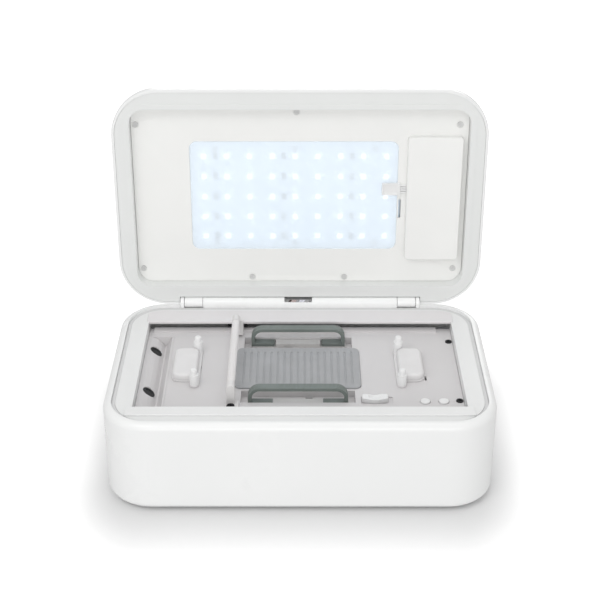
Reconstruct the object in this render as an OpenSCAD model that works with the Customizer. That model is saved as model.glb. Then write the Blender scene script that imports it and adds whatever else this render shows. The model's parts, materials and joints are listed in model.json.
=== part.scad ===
// Box that cleans a phone with ultraviolet light, with a wiper deck inside.
// Millimetres. The origin is the centre of the footprint on the floor.
// X runs to the right, Y runs to the rear, Z runs up. The lid is drawn standing open.

/* [Base] */
// Width of the base over its sides
base_w = 288; // [280:1:300]
// Depth of the base from front to rear
base_d = 180; // [178:1:190]
// Height of the rim above the floor
rim_z = 77; // [76:0.5:84]
// Plan radius of the four upright corners
corner_r = 35; // [30:1:40]
// Rounding of the top outer edge
rim_edge_r = 5.6; // [4:0.2:5.8]
// Rounding of the bottom outer edge
bottom_edge_r = 4.5; // [3:0.5:5]
// Thickness of the shell wall
wall = 2.6; // [2:0.2:3]
// Width of the rounded lip at the top of the shell
lip_w = 6; // [5.6:0.2:6.6]
// Extra width of the lip at the rear, where the hinge sits
rear_lip_extra = 0.5; // [0:0.1:1]
// Height of the bottom edge of the shell above the floor
shell_z = 3; // [2:0.5:4]
// Diameter of a rubber foot
foot_d = 16; // [12:1:20]

/* [Well and deck] */
// Distance from a side of the base to the well opening
well_side = 22; // [21.5:0.5:24]
// Distance from the front of the base to the well opening
well_near = 18; // [17:0.5:20]
// Distance from the rear of the base to the well opening
well_far = 15; // [14:0.5:16]
// Depth of the frame surface below the rim
bezel_drop = 2; // [1.5:0.1:2.5]
// Thickness of the frame plate
bezel_t = 2.5; // [2:0.1:3]
// Thickness of the well walls
well_wall = 2.4; // [2:0.1:3]
// Width of the soft ring in the rim groove
gasket_w = 3; // [2.5:0.1:3.5]
// Depth of the deck surface below the rim
deck_drop = 10.5; // [10:0.1:11]
// Thickness of the deck
deck_t = 2.5; // [2:0.1:3]
// Gap between the front wall of the well and the deck
deck_near = 20.4; // [20:0.1:20.8]
// Gap between the deck and the rear wall of the well
deck_far = 12.2; // [12:0.1:12.8]
// Height of the raised strip at the rear of the deck
strip_h = 1.5; // [1:0.1:1.8]
// Height of the front rail cover above the frame surface
rail_h = 1.5; // [1:0.1:1.6]
// Width of the V-shaped channel block at the left
block_w = 21; // [19:0.5:22]

/* [Phone holders] */
// Sideways place of the centre of the phone bed
bed_x = -1.5; // [-2:0.5:0]
// Distance from the front edge of the deck to the front clamp
clamp_near = 14.6; // [14.4:0.1:16]
// Distance from the rear edge of the deck to the rear clamp
clamp_far = 20.8; // [20.6:0.1:22]
// Width of a clamp bracket
clamp_w = 74.5; // [66:0.5:76]
// Width of the strip that a clamp is bent from
strip_w = 7; // [6:0.5:7]
// Thickness of the strip that a clamp is bent from
strip_t = 2.8; // [2.2:0.1:3]
// Height of the clamp top above the rim
clamp_over = 1.5; // [0.5:0.1:1.6]
// Outer bend radius of a clamp
bend_r = 9; // [7:0.5:10]
// Distance from a side of the well to the face of a jaw, mean of both sides
jaw_room = 45; // [44.5:0.5:46.5]
// Width of a jaw pad across the phone
pad_l = 40; // [36:1:41]
// Length of a jaw pad along the phone
pad_w = 19; // [17:0.5:19.5]
// Height of a jaw pad
pad_h = 5; // [4.5:0.1:6]
// Diameter of a corner post
post_d = 7; // [6:0.2:7.4]
// Diameter of the knob on a corner post
knob_d = 5.2; // [4:0.2:5.6]
// Height of the corner posts above the rim
post_over = 4; // [3:0.5:5]
// Pitch radius of the two pinions
pinion_r = 6; // [6:1:6]
// Number of teeth of a pinion
pinion_teeth = 12; // [12:1:12]

/* [Wiper] */
// Sideways place of the wiper
wiper_x = -51; // [-56:1:-46]
// Diameter of the wiper roller
roller_d = 6.3; // [6:0.1:7]
// Diameter of the guide rods
rod_d = 4; // [3.6:0.1:4.4]
// Radial clearance of a piece that runs on a shaft
run_gap = 0.05; // [0.03:0.01:0.08]
// Diameter of the belt pulleys over their rim
pulley_d = 9; // [8:0.5:9.5]
// Distance from a side of the well to the axis of a belt pulley
pulley_side = 14; // [13:0.5:16]

/* [Controls] */
// Diameter of the two round buttons
button_d = 7.4; // [6.8:0.1:8]
// Distance between the two round buttons
button_pitch = 13.8; // [12:0.2:15]
// Width of the release tab
tab_w = 19.5; // [16:0.5:20]
// Depth of the release tab from front to rear
tab_d = 8.5; // [7.5:0.5:9]

/* [Lid] */
// How far the lid reaches over the base at each side
lid_over = 3; // [2:0.1:3.5]
// How far the lid reaches over the base at the front
lid_front_over = 3; // [2:0.1:3.5]
// Height of the lid
lid_h = 22.5; // [22:0.5:26]
// Thickness of the lid wall
lid_wall = 2.2; // [1.8:0.1:2.4]
// Rounding of the upper edge of the lid
lid_top_r = 18; // [14:0.5:18.5]
// Gap between the closed lid and the rim
lid_gap = 0.5; // [0.5:0.1:0.8]
// Angle at which the lid stands open
open_angle = 93; // [90:1:96]
// Distance from the hinge axis to the rear face of the base
hinge_inset = 2; // [2:0.1:2.4]
// Radius of the hinge barrel
barrel_r = 4.2; // [3.8:0.1:4.4]
// Diameter of the hinge pins
pin_d = 3; // [2.5:0.1:3.2]
// Depth of the recess in the lid
recess_h = 10; // [9.8:0.1:10.4]
// Distance from a side of the lid to the recess
recess_side = 14.2; // [13.8:0.2:16]
// Rear end of the recess, measured from the hinge axis
recess_t0 = 14.5; // [13.5:0.1:15]
// Distance from the front of the lid to the recess
recess_near = 16; // [15.6:0.2:18]
// Corner radius of the recess
recess_r = 12; // [9:0.5:13]
// Thickness of the panel in the recess
panel_t = 2; // [1.6:0.1:2.2]

/* [Lamps] */
// Distance from the left side of the recess to the lamp window
window_left = 45.3; // [44:0.5:48]
// Distance from the right side of the recess to the lamp window
window_right = 54.8; // [54.8:0.5:58]
// Distance from the rear end of the recess to the lamp window
window_rear = 29.2; // [28:0.2:31]
// Distance from the front end of the recess to the lamp window
window_front = 29; // [28:0.2:31]
// Number of lamps across
led_cols = 9; // [8:1:9]
// Number of lamp rows
led_rows = 5; // [4:1:5]
// Distance from the outermost lamps to the sides of the window, both together
led_side = 20; // [18:0.5:24]
// Distance from the outermost lamp rows to the ends of the window, both together
led_end = 23.5; // [20:0.5:26]
// Size of one lamp
led_size = 3.5; // [2.8:0.1:4]
// Width of the driver cover beside the window
drv_w = 43.5; // [40:0.5:44]

/* [Hidden] */
$fn = 48;
eps = 0.02;
fit = 0.2;
seat = 0.3;
seam = 0.05;
bezel_z = rim_z - bezel_drop;
deck_z = rim_z - deck_drop;
groove_z = bezel_z - bezel_t;
half_w = base_w / 2;
half_d = base_d / 2;
lip_front = half_d - lip_w;
lip_rear = half_d - lip_w - rear_lip_extra;
lip_half = half_w - lip_w;
lip_r = corner_r - lip_w;
bez_half = lip_half - gasket_w;
bez_front = lip_front - gasket_w;
bez_rear = lip_rear - gasket_w - 1;
bez_r = lip_r - gasket_w;
well_half = half_w - well_side;
well_front = half_d - well_near;
well_rear = half_d - well_far;
deck_front = well_front - deck_near;
deck_rear = well_rear - deck_far;
bed_y = (deck_rear - clamp_far - deck_front + clamp_near) / 2;
clamp_gap = deck_rear - clamp_far + deck_front - clamp_near;
jaw_gap = 2 * (well_half - jaw_room);
pulley_x = well_half - pulley_side;
well_bottom = deck_z - 14;
rail_front = well_front + 3;
rail_back = well_front - 7.4;
rail_top = bezel_z + rail_h;
rear_cover_y = well_rear - 15.4;
rear_cover_t = 2.2;
rear_cover_z = bezel_z + 0.4;
cover_under = rear_cover_z - rear_cover_t;
hinge_y = half_d - hinge_inset;
hinge_z = rim_z + lid_gap;
hinge_end = 98.4;
leaf_x = 87.6;
leaf_half = 7.4;
knuckle_in = leaf_x - leaf_half - 0.4;
knuckle_out = leaf_x + leaf_half + 0.4;
leaf_rear = 1.4;
leaf_len = 9.5;
groove_r = barrel_r + 0.5;
wire_x0 = -12.8;
wire_x1 = 9.9;
wire_bend = 1.7;
wire_lip = 1.6;
lid_tail = hinge_inset;
lid_reach = hinge_y + half_d + lid_front_over;
lid_w = base_w + 2 * lid_over;
lid_d = lid_reach + lid_tail;
lid_y = (lid_tail - lid_reach) / 2;
lid_r = corner_r + lid_over;
frame_gap = 0.15;
frame_t = 3;
frame_wall = 3;
recess_half = lid_w / 2 - recess_side;
recess_w = 2 * recess_half;
recess_t1 = lid_reach - recess_near;
recess_y = -(recess_t0 + recess_t1) / 2;
recess_d = recess_t1 - recess_t0;
window_x = (window_left - window_right) / 2;
window_w = recess_w - window_left - window_right;
window_l = recess_d - window_rear - window_front;
window_t = recess_t0 + window_rear + window_l / 2;
led_px = (window_w - led_side) / (led_cols - 1);
led_py = (window_l - led_end) / (led_rows - 1);
led_x = window_x + 0.9;
led_t = window_t - 1.9;
magnet_t = recess_t1 + 7;
magnet_d = 8;
ridge_w = 4;
ridge_h = 0.5;
panel_top = recess_h + panel_t;
lens_t = 2;
board_z = panel_top + 3;
board_t = 1.6;
travel = 8;
clamp_top = rim_z + clamp_over;
foot_top = deck_z - 1.2;
slide_t = 1.5;
pocket_floor = foot_top - strip_t - slide_t - seat;
pocket_x0 = bed_x - clamp_w / 2 - 5.5;
pocket_x1 = bed_x + clamp_w / 2 + 5.5;
pocket_d = strip_w + travel + 1.2;
pocket_y = clamp_gap / 2 + strip_w / 2 - travel / 2;
clamp_in = clamp_gap / 2;
clamp_mid = clamp_in + strip_w / 2;
rack_w = 4.5;
rack_h = 4.5;
rack_pitch = 3.141592653589793 * 2 * pinion_r / pinion_teeth;
tooth_add = 0.8;
tooth_ded = 1.15;
tooth_slack = 0.2;
clamp_rack_z = pocket_floor - 8.5;
jaw_rack_z = clamp_rack_z - 8;
tray_z = jaw_rack_z - seat - 2.5;
tray_t = 2.5;
post_r = 2.5;
mat_w = 96;
mat_d = clamp_gap - 21;
jaw_in = jaw_gap / 2;
jaw_plate_t = 1.4;
jaw_z = deck_z + seat;
pad_shift = 1.2;
post_x = jaw_in + 1.5;
post_y = pad_l / 2 + 4;
stem_x = jaw_in + pad_w / 2;
roller_z = clamp_top + 0.4 + roller_d / 2;
sleeve_y0 = -deck_front + 8.6;
sleeve_y1 = deck_rear - 16.3;
leg_front = -deck_front + 0.7;
leg_t = 4.6;
leg_rear = deck_rear - 13;
leg_rear_t = 4.7;
rod_front_y = -deck_front - 6.4;
rod_front_z = deck_z - 5.5;
rod_rear_y = deck_rear + 5.2;
rod_rear_z = deck_z - 3.5;
car_w = 16;
belt_t = 1;
belt_h = 4;
belt_z = rod_rear_z - 12;
pulley_r = pulley_d / 2;
motor_r = 12;
motor_h = 30;
button_x = well_half - 22.1;
button_y = -deck_front + 8.4;
tab_x = well_half - 66.2;
tab_y = -deck_front + 10.1;
tab_bow_r = 22;
block_end = deck_rear - 12.8;
valley_z = deck_z - 8.5;
plug_x = 8.4;
plug_tilt = 33;
plug_d = 10.2;
plug_front = -26.1;
plug_rear = 32.5;
deck_screw_x = well_half - 3.3;
deck_screw_front = deck_front - 9.1;
deck_screw_rear = deck_rear - 20.3;
cover_z0 = shell_z + 0.8;
cover_t = 2.5;
flange_z = cover_z0 + cover_t;
foot_x = half_w - 26;
foot_y = half_d - 26;
screw_x = half_w - 40;
screw_y = half_d - 14;
boss_d = 9;
inlet_x = half_w - 48;
inlet_z = 18;
pcb_x = 30;
pcb_y = -24;
pcb_w = 90;
pcb_d = 52;
pcb_z = flange_z + 5;
drv_x1 = recess_half - 4.3;
drv_x0 = drv_x1 - drv_w;
drv_t0 = recess_t0 + 21.5;
drv_t1 = recess_t1 - 24;
drv_h = 5.5;
conn_x1 = drv_x0 - 5;
conn_x0 = conn_x1 - 14.5;
conn_t = (drv_t0 + drv_t1) / 2 + 3;
conn_l = 10;

// Plan shape with four round corners, centred.
module round_rect(w, d, r) {
    square([w - 2 * r, d], center = true);
    square([w, d - 2 * r], center = true);
    for (sx = [-1, 1], sy = [-1, 1])
        translate([sx * (w / 2 - r), sy * (d / 2 - r)])
            circle(r);
}

// Plan shape between a front and a rear line, so that it needn't be centred.
module round_span(half, front, rear, r) {
    translate([0, (rear + front) / 2])
        round_rect(2 * half, rear - front, r);
}

// Half profile of a slab edge: rounded by low_r at the bottom and high_r at the top.
module edge_profile(r, z0, z1, low_r, high_r) {
    intersection() {
        translate([0, z0])
            square([r, z1 - z0]);
        union() {
            translate([0, z0 + low_r])
                square([r, z1 - z0 - low_r - high_r]);
            translate([0, z0])
                square([r - low_r, z1 - z0 - high_r]);
            translate([0, z0 + low_r])
                square([r - high_r, z1 - z0 - low_r]);
            if (low_r > 0)
                translate([r - low_r, z0 + low_r])
                    circle(low_r);
            if (high_r > 0)
                translate([r - high_r, z1 - high_r])
                    circle(high_r);
        }
    }
}

// Slab with round plan corners whose edges are rounded all the way round.
module soft_slab(w, d, r, z0, z1, low_r, high_r) {
    translate([-(w / 2 - r), -(d / 2 - r), z0])
        cube([w - 2 * r, d - 2 * r, z1 - z0]);
    for (turn = [0, 180])
        rotate([0, 0, turn])
            translate([w / 2 - r, 0, 0])
                rotate([90, 0, 0])
                    linear_extrude(d - 2 * r, center = true)
                        edge_profile(r, z0, z1, low_r, high_r);
    for (turn = [0, 180])
        rotate([0, 0, turn])
            translate([0, d / 2 - r, 0])
                rotate([90, 0, 90])
                    linear_extrude(w - 2 * r, center = true)
                        edge_profile(r, z0, z1, low_r, high_r);
    for (sx = [-1, 1], sy = [-1, 1])
        translate([sx * (w / 2 - r), sy * (d / 2 - r), 0])
            rotate([0, 0, sx > 0 ? (sy > 0 ? 0 : 270) : (sy > 0 ? 90 : 180)])
                rotate_extrude(angle = 90)
                    edge_profile(r, z0, z1, low_r, high_r);
}

// Puts a piece of the closed lid, drawn from the hinge axis, into its open place.
module lid_place() {
    translate([0, hinge_y, hinge_z])
        rotate([-open_angle, 0, 0])
            children();
}

// Cylinder along X.
module x_rod(x0, x1, y, z, r) {
    translate([x0, y, z])
        rotate([0, 90, 0])
            cylinder(h = x1 - x0, r = r);
}

// Cylinder along Y.
module y_rod(y0, y1, x, z, r) {
    translate([x, y0, z])
        rotate([-90, 0, 0])
            cylinder(h = y1 - y0, r = r);
}

// Box from one corner to the other.
module span_box(x0, x1, y0, y1, z0, z1) {
    translate([x0, y0, z0])
        cube([x1 - x0, y1 - y0, z1 - z0]);
}

module bottom_points() {
    for (sx = [-1, 1], sy = [-1, 1])
        translate([sx * screw_x, sy * screw_y, 0])
            children();
}

// Plan of the lands that join the screw bosses to the flange of the shell.
module screw_lands() {
    for (sy = [-1, 1])
        rotate([0, 0, sy > 0 ? 0 : 180])
            for (sx = [-1, 1])
                translate([sx * screw_x, screw_y]) {
                    circle(d = boss_d);
                    translate([-boss_d / 2, 0])
                        square([boss_d, half_d - screw_y - wall]);
                }
}

module base_shell() {
    color([0.94, 0.94, 0.94])
    difference() {
        soft_slab(base_w, base_d, corner_r, shell_z, rim_z, bottom_edge_r, rim_edge_r);
        // room inside, above the screw flange and below the top shelf
        translate([0, 0, flange_z + 4])
            linear_extrude(groove_z - 2.4 - flange_z - 4)
                round_rect(base_w - 2 * wall, base_d - 2 * wall, corner_r - wall);
        // way through the screw flange, open at the screw bosses
        translate([0, 0, flange_z - 1])
            linear_extrude(6)
                difference() {
                    round_rect(base_w - 16, base_d - 16, corner_r - 8);
                    screw_lands();
                }
        // pocket for the bottom cover
        translate([0, 0, shell_z - 1])
            linear_extrude(flange_z - shell_z + 1)
                round_rect(base_w - 12, base_d - 12, corner_r - 6);
        // pocket inside the lip for the soft ring and the frame
        translate([0, 0, groove_z])
            linear_extrude(rim_z)
                round_span(lip_half, -lip_front, lip_rear, lip_r);
        // opening in the shelf for the well walls
        translate([0, 0, groove_z - 4])
            linear_extrude(6)
                round_span(well_half + well_wall + 2.5, -(well_front + well_wall + 1),
                    well_rear + well_wall + 1, 4);
        // notch in the rear lip for the hinge
        span_box(-hinge_end - fit, hinge_end + fit, lip_rear - 1, half_d + 1,
            hinge_z - 6, rim_z + 1);
        // screw holes from below
        bottom_points()
            translate([0, 0, flange_z - 1])
                cylinder(h = 4.5, d = 2.8);
        // inlet hole in the rear wall
        y_rod(half_d - wall - 1, half_d + 1, inlet_x, inlet_z, 5.2);
    }
}

module bottom_cover() {
    color([0.9, 0.9, 0.9])
    difference() {
        union() {
            translate([0, 0, cover_z0])
                linear_extrude(cover_t)
                    round_rect(base_w - 12.6, base_d - 12.6, corner_r - 6.3);
            // standoffs of the control board
            for (px = [4, pcb_w - 4], py = [4, pcb_d - 4])
                translate([pcb_x + px, pcb_y + py, cover_z0 + 1])
                    cylinder(h = pcb_z - cover_z0 - 1, d = 6);
        }
        bottom_points()
            translate([0, 0, cover_z0 - 1])
                cylinder(h = cover_t + 2, d = 3.4);
        bottom_points()
            translate([0, 0, cover_z0 - 1])
                cylinder(h = 2.4, d = 6.4);
        // rows of air slots under the board
        for (row = [-1, 0, 1], col = [-3 : 3])
            translate([col * 14 - 40, row * 22, cover_z0 - 1])
                linear_extrude(cover_t + 2)
                    round_rect(3, 16, 1.4);
        // shallow seats of the feet
        for (sx = [-1, 1], sy = [-1, 1])
            translate([sx * foot_x, sy * foot_y, cover_z0 - 1])
                cylinder(h = 1.6, d = foot_d + 0.4);
    }
}

module rubber_feet() {
    color([0.25, 0.25, 0.26])
    for (sx = [-1, 1], sy = [-1, 1])
        translate([sx * foot_x, sy * foot_y, 0])
            rotate_extrude() {
                square([foot_d / 2 - 1, cover_z0 + 0.6]);
                translate([0, 1])
                    square([foot_d / 2, cover_z0 - 0.4]);
                translate([foot_d / 2 - 1, 1])
                    circle(1);
            }
}

module bottom_screws() {
    color([0.6, 0.6, 0.62])
    bottom_points()
        translate([0, 0, cover_z0 - 0.2])
            difference() {
                union() {
                    cylinder(h = 1.6, d = 5.6);
                    cylinder(h = cover_t + 3, d = 2.6);
                }
                translate([0, 0, -1])
                    cross_recess(3.2, 2);
            }
}

// Cross-shaped drive recess.
module cross_recess(size, depth) {
    translate([-size / 2, -0.4, 0])
        cube([size, 0.8, depth]);
    translate([-0.4, -size / 2, 0])
        cube([0.8, size, depth]);
}

module top_bezel() {
    color([0.93, 0.93, 0.92])
    difference() {
        union() {
            // frame plate
            translate([0, 0, groove_z])
                linear_extrude(bezel_t)
                    round_span(bez_half, -bez_front, bez_rear, bez_r);
            // well walls
            translate([0, 0, well_bottom])
                linear_extrude(groove_z + 1 - well_bottom)
                    intersection() {
                        round_span(well_half + well_wall, -well_front - well_wall,
                            well_rear + well_wall, 6);
                        round_span(bez_half - fit, -bez_front + fit, bez_rear - fit, bez_r - fit);
                    }
        }
        span_box(-well_half, well_half, -well_front, well_rear, well_bottom - 1, bezel_z + 1);
        // rebate of the rear rail cover
        rear_cover_plate(fit, bezel_z + 1);
        // holes of the guide rods
        for (sx = [-1, 1]) {
            x_rod(sx * well_half - 3, sx * well_half + 3, rod_front_y, rod_front_z, rod_d / 2);
            x_rod(sx * well_half - 3, sx * well_half + 3, rod_rear_y, rod_rear_z, rod_d / 2);
        }
    }
    // ledges that carry the deck and the side block
    color([0.93, 0.93, 0.92]) {
        difference() {
            span_box(well_half - 7, well_half + 1, -deck_front, deck_rear - 4,
                deck_z - deck_t - 3, deck_z - deck_t);
            deck_screw_points()
                translate([0, 0, deck_z - deck_t - 4])
                    cylinder(h = 5, d = 1.8);
        }
        span_box(-well_half - 1, -well_half + 7, -deck_front, block_end, deck_z - 13,
            deck_z - 10);
    }
}

module rim_gasket() {
    color([0.8, 0.8, 0.8])
    translate([0, 0, groove_z])
        difference() {
            linear_extrude(bezel_t - 0.4)
                round_span(lip_half - 0.1, -lip_front + 0.1, lip_rear - 0.1, lip_r - 0.1);
            translate([0, 0, -1])
                linear_extrude(bezel_t + 2)
                    round_span(bez_half + 0.1, -bez_front - 0.1, bez_rear + 0.1, bez_r + 0.1);
        }
}

module front_rail_cover() {
    color([0.95, 0.95, 0.95]) {
        span_box(-well_half - 4.2, well_half + 4.2, -rail_front, -rail_back, bezel_z, rail_top);
        span_box(-well_half + fit, well_half - fit, -well_front + fit, -rail_back,
            bezel_z - 2.3, bezel_z + eps);
    }
}

// Plate over the rear rod; its rear corners follow the corners of the frame.
module rear_cover_plate(grow, top) {
    intersection() {
        span_box(-well_half - 1.5 - grow, well_half + 1.5 + grow, rear_cover_y - grow,
            well_rear + 3 + grow, cover_under, top);
        translate([0, 0, cover_under - 1])
            linear_extrude(top - cover_under + 2)
                round_span(bez_half - 1.4 + grow, -bez_front, bez_rear - 1.4 + grow,
                    bez_r - 1.4 + grow);
    }
}

module rear_rail_cover() {
    color([0.82, 0.8, 0.8])
    rear_cover_plate(0, rear_cover_z);
}

module deck_screw_points() {
    for (y = [-deck_screw_front, deck_screw_rear])
        translate([deck_screw_x, y, 0])
            children();
}

// Plan of a hole in the deck for the feet of a clamp; side is -1 in front, 1 at the rear.
module pocket_at(side, grow) {
    translate([(pocket_x0 + pocket_x1) / 2, bed_y + side * pocket_y])
        square([pocket_x1 - pocket_x0 + 2 * grow, pocket_d + 2 * grow], center = true);
}

module deck_plate() {
    color([0.82, 0.8, 0.8])
    difference() {
        union() {
            span_box(-well_half + block_w + seam, well_half - seat, -deck_front, deck_rear,
                deck_z - deck_t, deck_z);
            // tongue behind the side block, with a skirt that closes the channel
            span_box(-well_half + seat, 0, block_end + seat, deck_rear, deck_z - deck_t, deck_z);
            span_box(-well_half + seat, -well_half + block_w, block_end + seat, block_end + 2.5,
                valley_z - 1, deck_z);
            // raised strip
            span_box(-well_half + 4, well_half - 12, deck_rear - 6.3, deck_rear, deck_z - 1,
                deck_z + strip_h);
            // walls of the clamp pockets
            for (side = [-1, 1])
                translate([0, 0, pocket_floor - 2])
                    linear_extrude(deck_z - pocket_floor + 1)
                        pocket_at(side, 1.6);
        }
        for (side = [-1, 1]) {
            translate([0, 0, pocket_floor])
                linear_extrude(20)
                    pocket_at(side, 0);
            // slot for the stem of the rack
            translate([bed_x - side * (pinion_r + rack_w / 2), bed_y + side * pocket_y, 0])
                span_box(-2.8, 2.8, -travel / 2 - 3.4, travel / 2 + 3.4,
                    pocket_floor - 3, pocket_floor + 1);
        }
        // slots of the end jaws, and the narrow slot for their stop beside each
        for (side = [-1, 1])
            translate([bed_x + side * (stem_x - 1), bed_y + side * (pinion_r + rack_w / 2), 0])
                span_box(-7.5, 7.5, -2.6, 2.6, deck_z - 4, deck_z + 1);
        for (spot = [[-jaw_in + 1.6, 1], [jaw_in + pad_w + 1.4, -13.8]])
            translate([bed_x + spot[0], bed_y + spot[1], deck_z - 4])
                linear_extrude(5)
                    round_rect(1.4, 6.5, 0.6);
        // round holes of the buttons
        for (sx = [-1, 1])
            translate([button_x + sx * button_pitch / 2, button_y, deck_z - 4])
                cylinder(h = 6, d = button_d + 0.7);
        // slot of the release tab
        translate([tab_x + 1.5, tab_y, 0])
            span_box(-4.5, 4.5, -1.9, 1.9, deck_z - 4, deck_z + 1);
        translate([tab_x + 1.5, tab_y, 0])
            span_box(-tab_w / 2 - 2, tab_w / 2 + 2, -tab_d / 2 - 0.4, tab_d / 2 + 0.4,
                deck_z - 1, deck_z + 1);
        // countersunk holes of the deck screws
        deck_screw_points() {
            translate([0, 0, deck_z - 4])
                cylinder(h = 6, d = 2.4);
            translate([0, 0, deck_z - 1])
                cylinder(h = 3, d = 5.6);
        }
        // shallow bed of the phone mat
        translate([bed_x, bed_y, deck_z - 0.6])
            linear_extrude(2)
                round_rect(mat_w, mat_d, 5);
    }
}

// Section of the channel: a broad left flank that steepens to the valley, a right flank.
module channel_profile() {
    translate([-well_half, 0])
        polygon([[seat, deck_z - 10], [seat, deck_z + 0.9], [4.6, deck_z - 0.2],
            [8.2, deck_z - 2.2], [11, deck_z - 4.9], [13.4, valley_z], [14.6, valley_z + 0.1],
            [17.6, deck_z - 3.2], [block_w - 1.6, deck_z], [block_w - seam, deck_z],
            [block_w - seam, deck_z - deck_t], [block_w + 6, deck_z - deck_t],
            [block_w + 6, deck_z - 5], [block_w - 4, deck_z - 10]]);
}

// Puts a piece square on the left flank of the channel, at both plugs.
module flank_points() {
    for (y = [plug_front, plug_rear])
        translate([-well_half + plug_x, y, deck_z - 2.2])
            rotate([0, plug_tilt, 0])
                children();
}

module side_block() {
    color([0.83, 0.81, 0.81])
    difference() {
        translate([0, block_end, 0])
            rotate([90, 0, 0])
                linear_extrude(block_end + deck_front)
                    channel_profile();
        flank_points()
            translate([0, 0, -3.6])
                cylinder(h = 8, d = plug_d + 0.4);
    }
}

module side_plugs() {
    color([0.25, 0.25, 0.26])
    flank_points()
        translate([0, 0, -3.6])
            difference() {
                cylinder(h = 2.6, d = plug_d);
                translate([0, 0, 2])
                    cylinder(h = 3, d = plug_d - 3);
            }
}

module deck_screws() {
    color([0.12, 0.12, 0.12])
    deck_screw_points()
        difference() {
            union() {
                translate([0, 0, deck_z - 1])
                    cylinder(h = 1.6, d = 5.2);
                translate([0, 0, deck_z - deck_t - 2.6])
                    cylinder(h = deck_t + 2, d = 1.7);
            }
            translate([0, 0, deck_z - 0.2])
                cross_recess(3, 2);
        }
}

module phone_mat() {
    color([0.72, 0.73, 0.74])
    translate([bed_x, bed_y, deck_z - 0.6])
        difference() {
            linear_extrude(1.8)
                round_rect(mat_w - 2 * seat, mat_d - 2 * seat, 4.7);
            // grip grooves
            for (col = [-8 : 8])
                translate([col * 5.2, 0, 1.3])
                    linear_extrude(1)
                        round_rect(1.6, mat_d - 12, 0.7);
        }
}

module guide_rods() {
    color([0.7, 0.71, 0.73]) {
        x_rod(-well_half - 2, well_half + 2, rod_front_y, rod_front_z, rod_d / 2);
        x_rod(-well_half - 2, well_half + 2, rod_rear_y, rod_rear_z, rod_d / 2);
    }
}

module belt_brackets() {
    color([0.6, 0.62, 0.64])
    for (sx = [-1, 1])
        difference() {
            union() {
                span_box(min(sx * (pulley_x - 10), sx * (well_half + well_wall)),
                    max(sx * (pulley_x - 10), sx * (well_half + well_wall)),
                    rod_rear_y - 9, well_rear + well_wall, belt_z - 5, belt_z - 3);
                span_box(min(sx * well_half, sx * (well_half + well_wall)),
                    max(sx * well_half, sx * (well_half + well_wall)),
                    rod_rear_y - 9, well_rear + well_wall, belt_z - 5, well_bottom);
                if (sx > 0)
                    translate([pulley_x, rod_rear_y, belt_z - 4])
                        cylinder(h = belt_h + 5, r = 1.5);
            }
            if (sx < 0)
                translate([-pulley_x, rod_rear_y, belt_z - 6])
                    cylinder(h = 5, r = 3.4);
        }
}

module wiper_motor() {
    color([0.62, 0.63, 0.65])
    translate([-pulley_x, rod_rear_y, 0]) {
        translate([0, 0, belt_z - 5 - motor_h])
            cylinder(h = motor_h, r = motor_r);
        translate([0, 0, belt_z - 5 - eps])
            cylinder(h = 1.8, r = 3.2);
        translate([0, 0, belt_z - 6])
            cylinder(h = belt_h + 7, r = 1.5);
        translate([0, 0, belt_z - 8 - motor_h])
            cylinder(h = 4, r = 4);
    }
}

module drive_belt() {
    color([0.12, 0.12, 0.13])
    translate([0, rod_rear_y, belt_z])
        linear_extrude(belt_h)
            difference() {
                round_rect(2 * pulley_x + pulley_d + 2 * belt_t, pulley_d + 2 * belt_t,
                    pulley_r + belt_t - eps);
                round_rect(2 * pulley_x + pulley_d, pulley_d, pulley_r - eps);
            }
}

module pulley() {
    difference() {
        union() {
            translate([0, 0, -0.8])
                cylinder(h = 0.7, r = pulley_r + 1);
            translate([0, 0, -0.2])
                cylinder(h = belt_h + 0.4, r = pulley_r - 0.3);
            translate([0, 0, belt_h + 0.1])
                cylinder(h = 0.7, r = pulley_r + 1);
        }
        translate([0, 0, -2])
            cylinder(h = belt_h + 4, r = 1.5 + run_gap);
    }
}

module drive_pulley() {
    color([0.75, 0.75, 0.76])
    translate([-pulley_x, rod_rear_y, belt_z])
        pulley();
}

module idler_pulley() {
    color([0.75, 0.75, 0.76])
    translate([pulley_x, rod_rear_y, belt_z])
        pulley();
}

module mechanism_tray() {
    color([0.7, 0.7, 0.7])
    difference() {
        union() {
            translate([bed_x, bed_y, tray_z])
                linear_extrude(tray_t)
                    round_rect(200, 44, 6);
            // posts up to the deck
            for (sx = [-1, 1], sy = [-1, 1])
                translate([bed_x + sx * 58, bed_y + sy * 17, tray_z + 1])
                    cylinder(h = deck_z - deck_t - tray_z - 1, r = 3);
            // axle of both pinions
            translate([bed_x, bed_y, tray_z + 1])
                cylinder(h = clamp_rack_z + rack_h + 1 - tray_z, r = post_r);
            translate([bed_x, bed_y, tray_z + 1])
                cylinder(h = tray_t + seat - 1.05, r = post_r + 2);
        }
        for (sx = [-1, 1])
            translate([bed_x + sx * 78, bed_y, tray_z - 1])
                linear_extrude(tray_t + 2)
                    round_rect(20, 30, 4);
    }
}

// One involute flank point of a pinion tooth at unroll angle u, in degrees.
function flank(base, u) = [base * (cos(u) + u * PI / 180 * sin(u)),
    base * (sin(u) - u * PI / 180 * cos(u))];

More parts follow.
